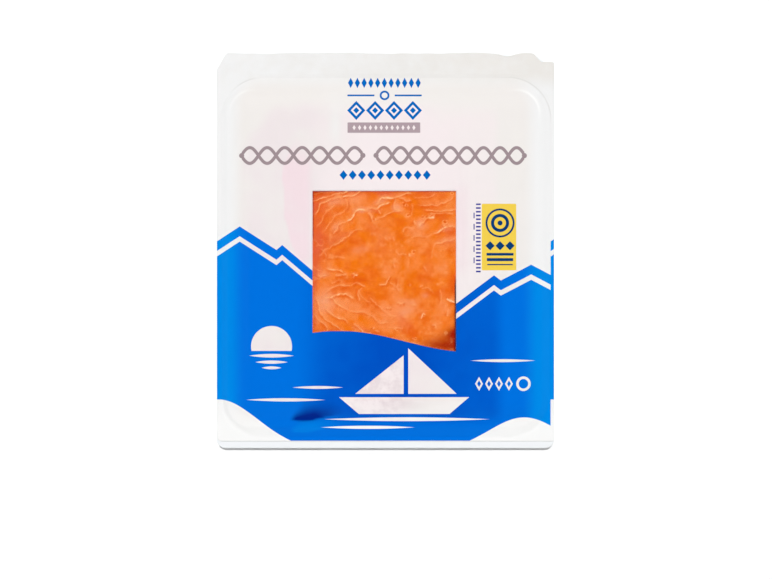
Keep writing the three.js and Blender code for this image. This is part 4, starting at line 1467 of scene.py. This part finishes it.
def slab(grid, rings):
    """Points and faces of a body with a fine grid on top, closed below by ever smaller rings.

    Each ring is given by its size as a share of the grid's edge, and its height."""
    rows, columns = grid.shape[:2]
    number = np.arange(rows * columns).reshape(rows, columns)
    edge = np.concatenate([number[0, :-1], number[:-1, -1], number[-1, :0:-1], number[:0:-1, 0]])
    outline = grid.reshape(-1, 3)[edge]
    middle = outline.mean(0)
    points, faces = [grid.reshape(-1, 3)], cells(number).reshape(-1, 4).tolist()
    above, count = edge, rows * columns
    for share, height in rings:
        lower = middle + (outline - middle) * share
        lower[:, 2] = height
        points.append(lower)
        under = np.arange(len(edge)) + count
        sides = np.stack([above, under, np.roll(under, -1), np.roll(above, -1)], axis=-1)
        faces.extend(sides.tolist())
        above, count = under, count + len(edge)
    points.append(np.array([[middle[0], middle[1], rings[-1][1]]]))
    faces.extend([count, j, i] for i, j in zip(above.tolist(), np.roll(above, -1).tolist()))
    return np.concatenate(points), faces


EDGE_RADIUS = 1.4  # how far in from a slice's edge it starts to thin
HIDDEN_SINK = 0.25  # how far the faces that the print hides lie under the tops of their boxes
FILM_GAP = 0.28  # between the clear film and the slice under it


def make_slice(name, node, plan, columns, rows, upper_at, material, sizes):
    """One slice, or a pile of them, with a rounded edge."""
    low = millimetres(node)[0]
    x, y, share = fitted(plan, columns, rows)
    top = upper_at(x, y)
    from_edge = np.clip((1 - share) * plan.half_width / EDGE_RADIUS, 0, 1)
    middle = (top + low.z) / 2
    grid = np.stack([x, y, middle + (top - middle) * np.sqrt(1 - (1 - from_edge) ** 2)], axis=-1)
    inner = 1 - EDGE_RADIUS / plan.half_width
    height = middle.min() - low.z
    rings = [(1, low.z + height * 0.7), ((1 + inner) / 2, low.z + height * 0.15), (inner, low.z)]
    rings += [(size, low.z) for size in (0.8, 0.5, 0.2)]
    points, faces = slab(grid, rings)
    pattern = flesh_pattern(sizes, points[:, 0], points[:, 1])
    return piece(name, points, faces, material, node, pattern)


def layered_top(sizes, node):
    """The upper face of slices that the print hides, as a function of the place."""
    top = millimetres(node)[1].z

    def height(x, y):
        lines = fading(muscle_lines(sizes, x, y)[0], 0.8)
        return top - HIDDEN_SINK + 0.15 * Noise(8, 31)(x, y) - 0.1 * lines

    return height


def window_top(sizes):
    """The upper face of the slice under the window, as a function of the place."""

    def height(x, y):
        pattern = flesh_pattern(sizes, x, y)
        relief = 0.12 * pattern["fat"] + 0.1 * Noise(5, 32)(x, y) + 0.06 * Noise(2, 33)(x, y)
        return lid_height(sizes, x, y) - sizes.film / MM - FILM_GAP + relief

    return height


TOP_SPACING = 1.2  # of the top slice's grid, away from the window


def make_salmon(sizes, colours):
    """The pile of lower slices, the middle slice and the top slice."""
    material = flesh(colours)
    hidden = (
        ("salmon_pile_slices", "salmon_pile", PILE, 1.5),
        ("salmon_middle", "salmon_slice_middle", MIDDLE, 1.2),
    )
    for name, node, plan, spacing in hidden:
        columns = spaced((plan.x - plan.half_width, plan.x + plan.half_width, spacing))
        rows = spaced((plan.y - plan.half_length, plan.y + plan.half_length, spacing))
        make_slice(name, node, plan, columns, rows, layered_top(sizes, node), material, sizes)

    def finer(start, end, low, high):
        fine = (low - 1, high + 1, sizes.flesh_grid / MM)
        return spaced((start, low - 1, TOP_SPACING), fine, (high + 1, end, TOP_SPACING))

    low, high = millimetres("lid_window")
    columns = finer(TOP.x - TOP.half_width, TOP.x + TOP.half_width, low.x, high.x)
    rows = finer(TOP.y - TOP.half_length, TOP.y + TOP.half_length, low.y, high.y)
    make_slice("salmon_top", "salmon_slice_top", TOP, columns, rows, window_top(sizes), material, sizes)


LIGHT_BELOW_FOLD_OFFSET = 6.4  # how far below a fold the painted light on the film lies


def make_lid(sizes, colours):
    """The printed film and, cut out of the same grid, the clear window."""
    x, y, in_window = lid_grid()
    x = rounded_sides(x, y)
    y = wandering_top(x, y)
    z = lid_height(sizes, x, y)
    upper = np.stack([x, y, z], axis=-1)
    lower = np.stack([x, y, z - sizes.film / MM], axis=-1)
    # Painted shade in the folds, and painted light on the film just below them.
    folds = {"fold_shade": folded(x, y, "dark"), "swell": folded(x, y + LIGHT_BELOW_FOLD_OFFSET, "dark")}
    carried = {**shows_through(x, y), **folds}

    points, faces, used = closed_sheet(upper, lower, ~in_window)
    attributes = {key: np.tile(values.ravel(), 2)[used] for key, values in carried.items()}
    piece("lid_print", points, faces, printed_film(colours), "lid_film", attributes)

    points, faces, _ = closed_sheet(upper, lower, in_window)
    piece("lid_clear", points, faces, clear_film(), "lid_window")


# ------------------------------------------------------------------ stage, in metres and degrees

FLOOR_FLAT, FLOOR_SWEEP, FLOOR_WALL = 1.7, 0.9, 2.2  # the flat part's radius, the sweep's, the wall's top
FLOOR_SIDES = 96
DARK_CONE, LIGHT_CONE = 20, 36  # from the zenith: no even light inside the first, all of it past the second
STEEP_TILT, STEEP_WIDTH = -12, 3
LAMPS = (Lamp("right", 0, 1.0), Lamp("top", 90, 1.4), Lamp("left", 180, 1.0), Lamp("front", 270, 0.3))
LAMP_WIDTH, LAMP_HEIGHT, LAMP_REACH = 1.1, 0.6, 0.9
SENSOR = 36  # in millimetres
FACE_SHARE = 0.75  # height of the face that the camera is set by, as a share of the pack's


def make_floor(colours):
    """A pale floor that sweeps up into a round wall."""
    paint = Paint("floor")
    paint.surface(Base_Color=tuple(colours.floor), Roughness=0.9, Specular_IOR_Level=0.1)
    turns = np.linspace(0, pi / 2, 12)
    edge = FLOOR_FLAT + FLOOR_SWEEP
    radii = np.concatenate([[0.4, 1.0], FLOOR_FLAT + FLOOR_SWEEP * np.sin(turns), [edge]])
    heights = np.concatenate([[0, 0], FLOOR_SWEEP * (1 - np.cos(turns)), [FLOOR_WALL]])
    angle = np.arange(FLOOR_SIDES) * 2 * pi / FLOOR_SIDES
    points = [(0, 0, 0)]
    for radius, height in zip(radii, heights):
        points += [(radius * np.cos(a), radius * np.sin(a), height) for a in angle]
    faces = [(0, 1 + i, 1 + (i + 1) % FLOOR_SIDES) for i in range(FLOOR_SIDES)]
    for level in range(len(radii) - 1):
        inner, outer = 1 + level * FLOOR_SIDES, 1 + (level + 1) * FLOOR_SIDES
        for i in range(FLOOR_SIDES):
            j = (i + 1) % FLOOR_SIDES
            faces.append((inner + i, outer + i, outer + j, inner + j))
    mesh = bpy.data.meshes.new("floor")
    mesh.from_pydata(points, [], faces)
    mesh.materials.append(paint.material)
    mesh.shade_smooth()
    floor = placed("floor", mesh)


def make_sky(stage):
    """Even light that leaves out the zenith, which the flat film would mirror."""
    world = bpy.data.worlds.new("studio")
    world.use_nodes = True
    sky = Nodes(world.node_tree)
    way = sky.node("ShaderNodeTexCoord", {}, {}, output="Generated")
    up = sky.node("ShaderNodeSeparateXYZ", {}, {0: way}, output=2)
    zenith = up.step(np.cos(radians(LIGHT_CONE)), np.cos(radians(DARK_CONE)))
    background = world.node_tree.nodes["Background"]
    background.inputs["Color"].default_value = (1, 1, 1, 1)
    sky.feed(background.inputs["Strength"], stage.world * (1 - zenith))
    bpy.context.scene.world = world


def make_steep_light(stage):
    """A steep light from beyond the pack's top edge, which draws a thin shadow under its lower edge."""
    sun = bpy.data.lights.new("steep", "SUN")
    sun.energy = stage.steep
    sun.angle = radians(STEEP_WIDTH)
    steep = placed("steep", sun)
    steep.rotation_euler = (radians(STEEP_TILT), 0, 0)
    steep.visible_glossy = False


def make_lamps(stage):
    """Four large soft lights round the pack, out of the flat film's mirror direction."""
    for name, azimuth, share in LAMPS:
        light = bpy.data.lights.new(name, "AREA")
        light.shape = "RECTANGLE"
        light.size, light.size_y = LAMP_WIDTH, LAMP_HEIGHT
        light.energy = stage.lamps * share
        lamp = placed(name, light)
        out = Vector((np.cos(radians(azimuth)), np.sin(radians(azimuth)), 1.0))
        lamp.location = out * LAMP_REACH
        lamp.rotation_euler = out.to_track_quat("Z", "Y").to_euler()


def make_camera(stage):
    """A camera that looks straight down on the pack."""
    camera = bpy.data.cameras.new("camera")
    camera.sensor_width = SENSOR
    camera.lens = camera.sensor_width * stage.distance / stage.view_width
    eye = placed("camera", camera)
    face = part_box("lid_film")[1].z * FACE_SHARE
    eye.location = (stage.centre_x, stage.centre_y, face + stage.distance)
    bpy.context.scene.camera = eye
    bpy.context.scene.view_settings.view_transform = "Standard"


# ------------------------------------------------------------------ operators and panel


class SALMON_OT_stage(bpy.types.Operator):
    """Add the floor, the lights and the camera"""

    bl_idname = "salmon_pack.stage"
    bl_label = "Stage"
    bl_options = {"REGISTER", "UNDO"}

    def execute(self, context):
        stage = context.scene.salmon_pack_stage
        make_floor(context.scene.salmon_pack_colours)
        make_sky(stage)
        make_steep_light(stage)
        make_lamps(stage)
        make_camera(stage)
        return {"FINISHED"}


class SALMON_OT_tray(bpy.types.Operator):
    """Add the white thermoformed tray"""

    bl_idname = "salmon_pack.tray"
    bl_label = "Tray"
    bl_options = {"REGISTER", "UNDO"}

    def execute(self, context):
        make_tray(context.scene.salmon_pack_sizes, context.scene.salmon_pack_colours)
        return {"FINISHED"}


class SALMON_OT_board(bpy.types.Operator):
    """Add the card under the fish"""

    bl_idname = "salmon_pack.board"
    bl_label = "Card"
    bl_options = {"REGISTER", "UNDO"}

    def execute(self, context):
        make_board(context.scene.salmon_pack_colours)
        return {"FINISHED"}


class SALMON_OT_salmon(bpy.types.Operator):
    """Add the slices of smoked salmon"""

    bl_idname = "salmon_pack.salmon"
    bl_label = "Salmon"
    bl_options = {"REGISTER", "UNDO"}

    def execute(self, context):
        make_salmon(context.scene.salmon_pack_sizes, context.scene.salmon_pack_colours)
        return {"FINISHED"}


class SALMON_OT_lid(bpy.types.Operator):
    """Add the printed film and its clear window"""

    bl_idname = "salmon_pack.lid"
    bl_label = "Lid"
    bl_options = {"REGISTER", "UNDO"}

    def execute(self, context):
        make_lid(context.scene.salmon_pack_sizes, context.scene.salmon_pack_colours)
        return {"FINISHED"}


OPERATORS = (SALMON_OT_stage, SALMON_OT_tray, SALMON_OT_board, SALMON_OT_salmon, SALMON_OT_lid)


class SALMON_PT_panel(bpy.types.Panel):
    """Lists the pack's pieces and settings"""

    bl_label = "Salmon Pack"
    bl_idname = "SALMON_PT_panel"
    bl_space_type = "VIEW_3D"
    bl_region_type = "UI"
    bl_category = "Salmon Pack"

    def draw(self, context):
        layout = self.layout
        for operator in OPERATORS:
            layout.operator(operator.bl_idname)
        for group in ("salmon_pack_sizes", "salmon_pack_colours", "salmon_pack_stage"):
            settings = getattr(context.scene, group)
            column = layout.column()
            for key in settings.__annotations__:
                column.prop(settings, key)


GROUPS = {
    "salmon_pack_sizes": SalmonPackSizes,
    "salmon_pack_colours": SalmonPackColours,
    "salmon_pack_stage": SalmonPackStage,
}
CLASSES = (*GROUPS.values(), *OPERATORS, SALMON_PT_panel)


def register():
    for each in CLASSES:
        bpy.utils.register_class(each)
    for name, group in GROUPS.items():
        setattr(bpy.types.Scene, name, PointerProperty(type=group))


def unregister():
    for name in GROUPS:
        delattr(bpy.types.Scene, name)
    for each in reversed(CLASSES):
        bpy.utils.unregister_class(each)


def main():
    register()
    bpy.ops.salmon_pack.stage()
    bpy.ops.salmon_pack.tray()
    bpy.ops.salmon_pack.board()
    bpy.ops.salmon_pack.salmon()
    bpy.ops.salmon_pack.lid()


if __name__ == "__main__":
    main()
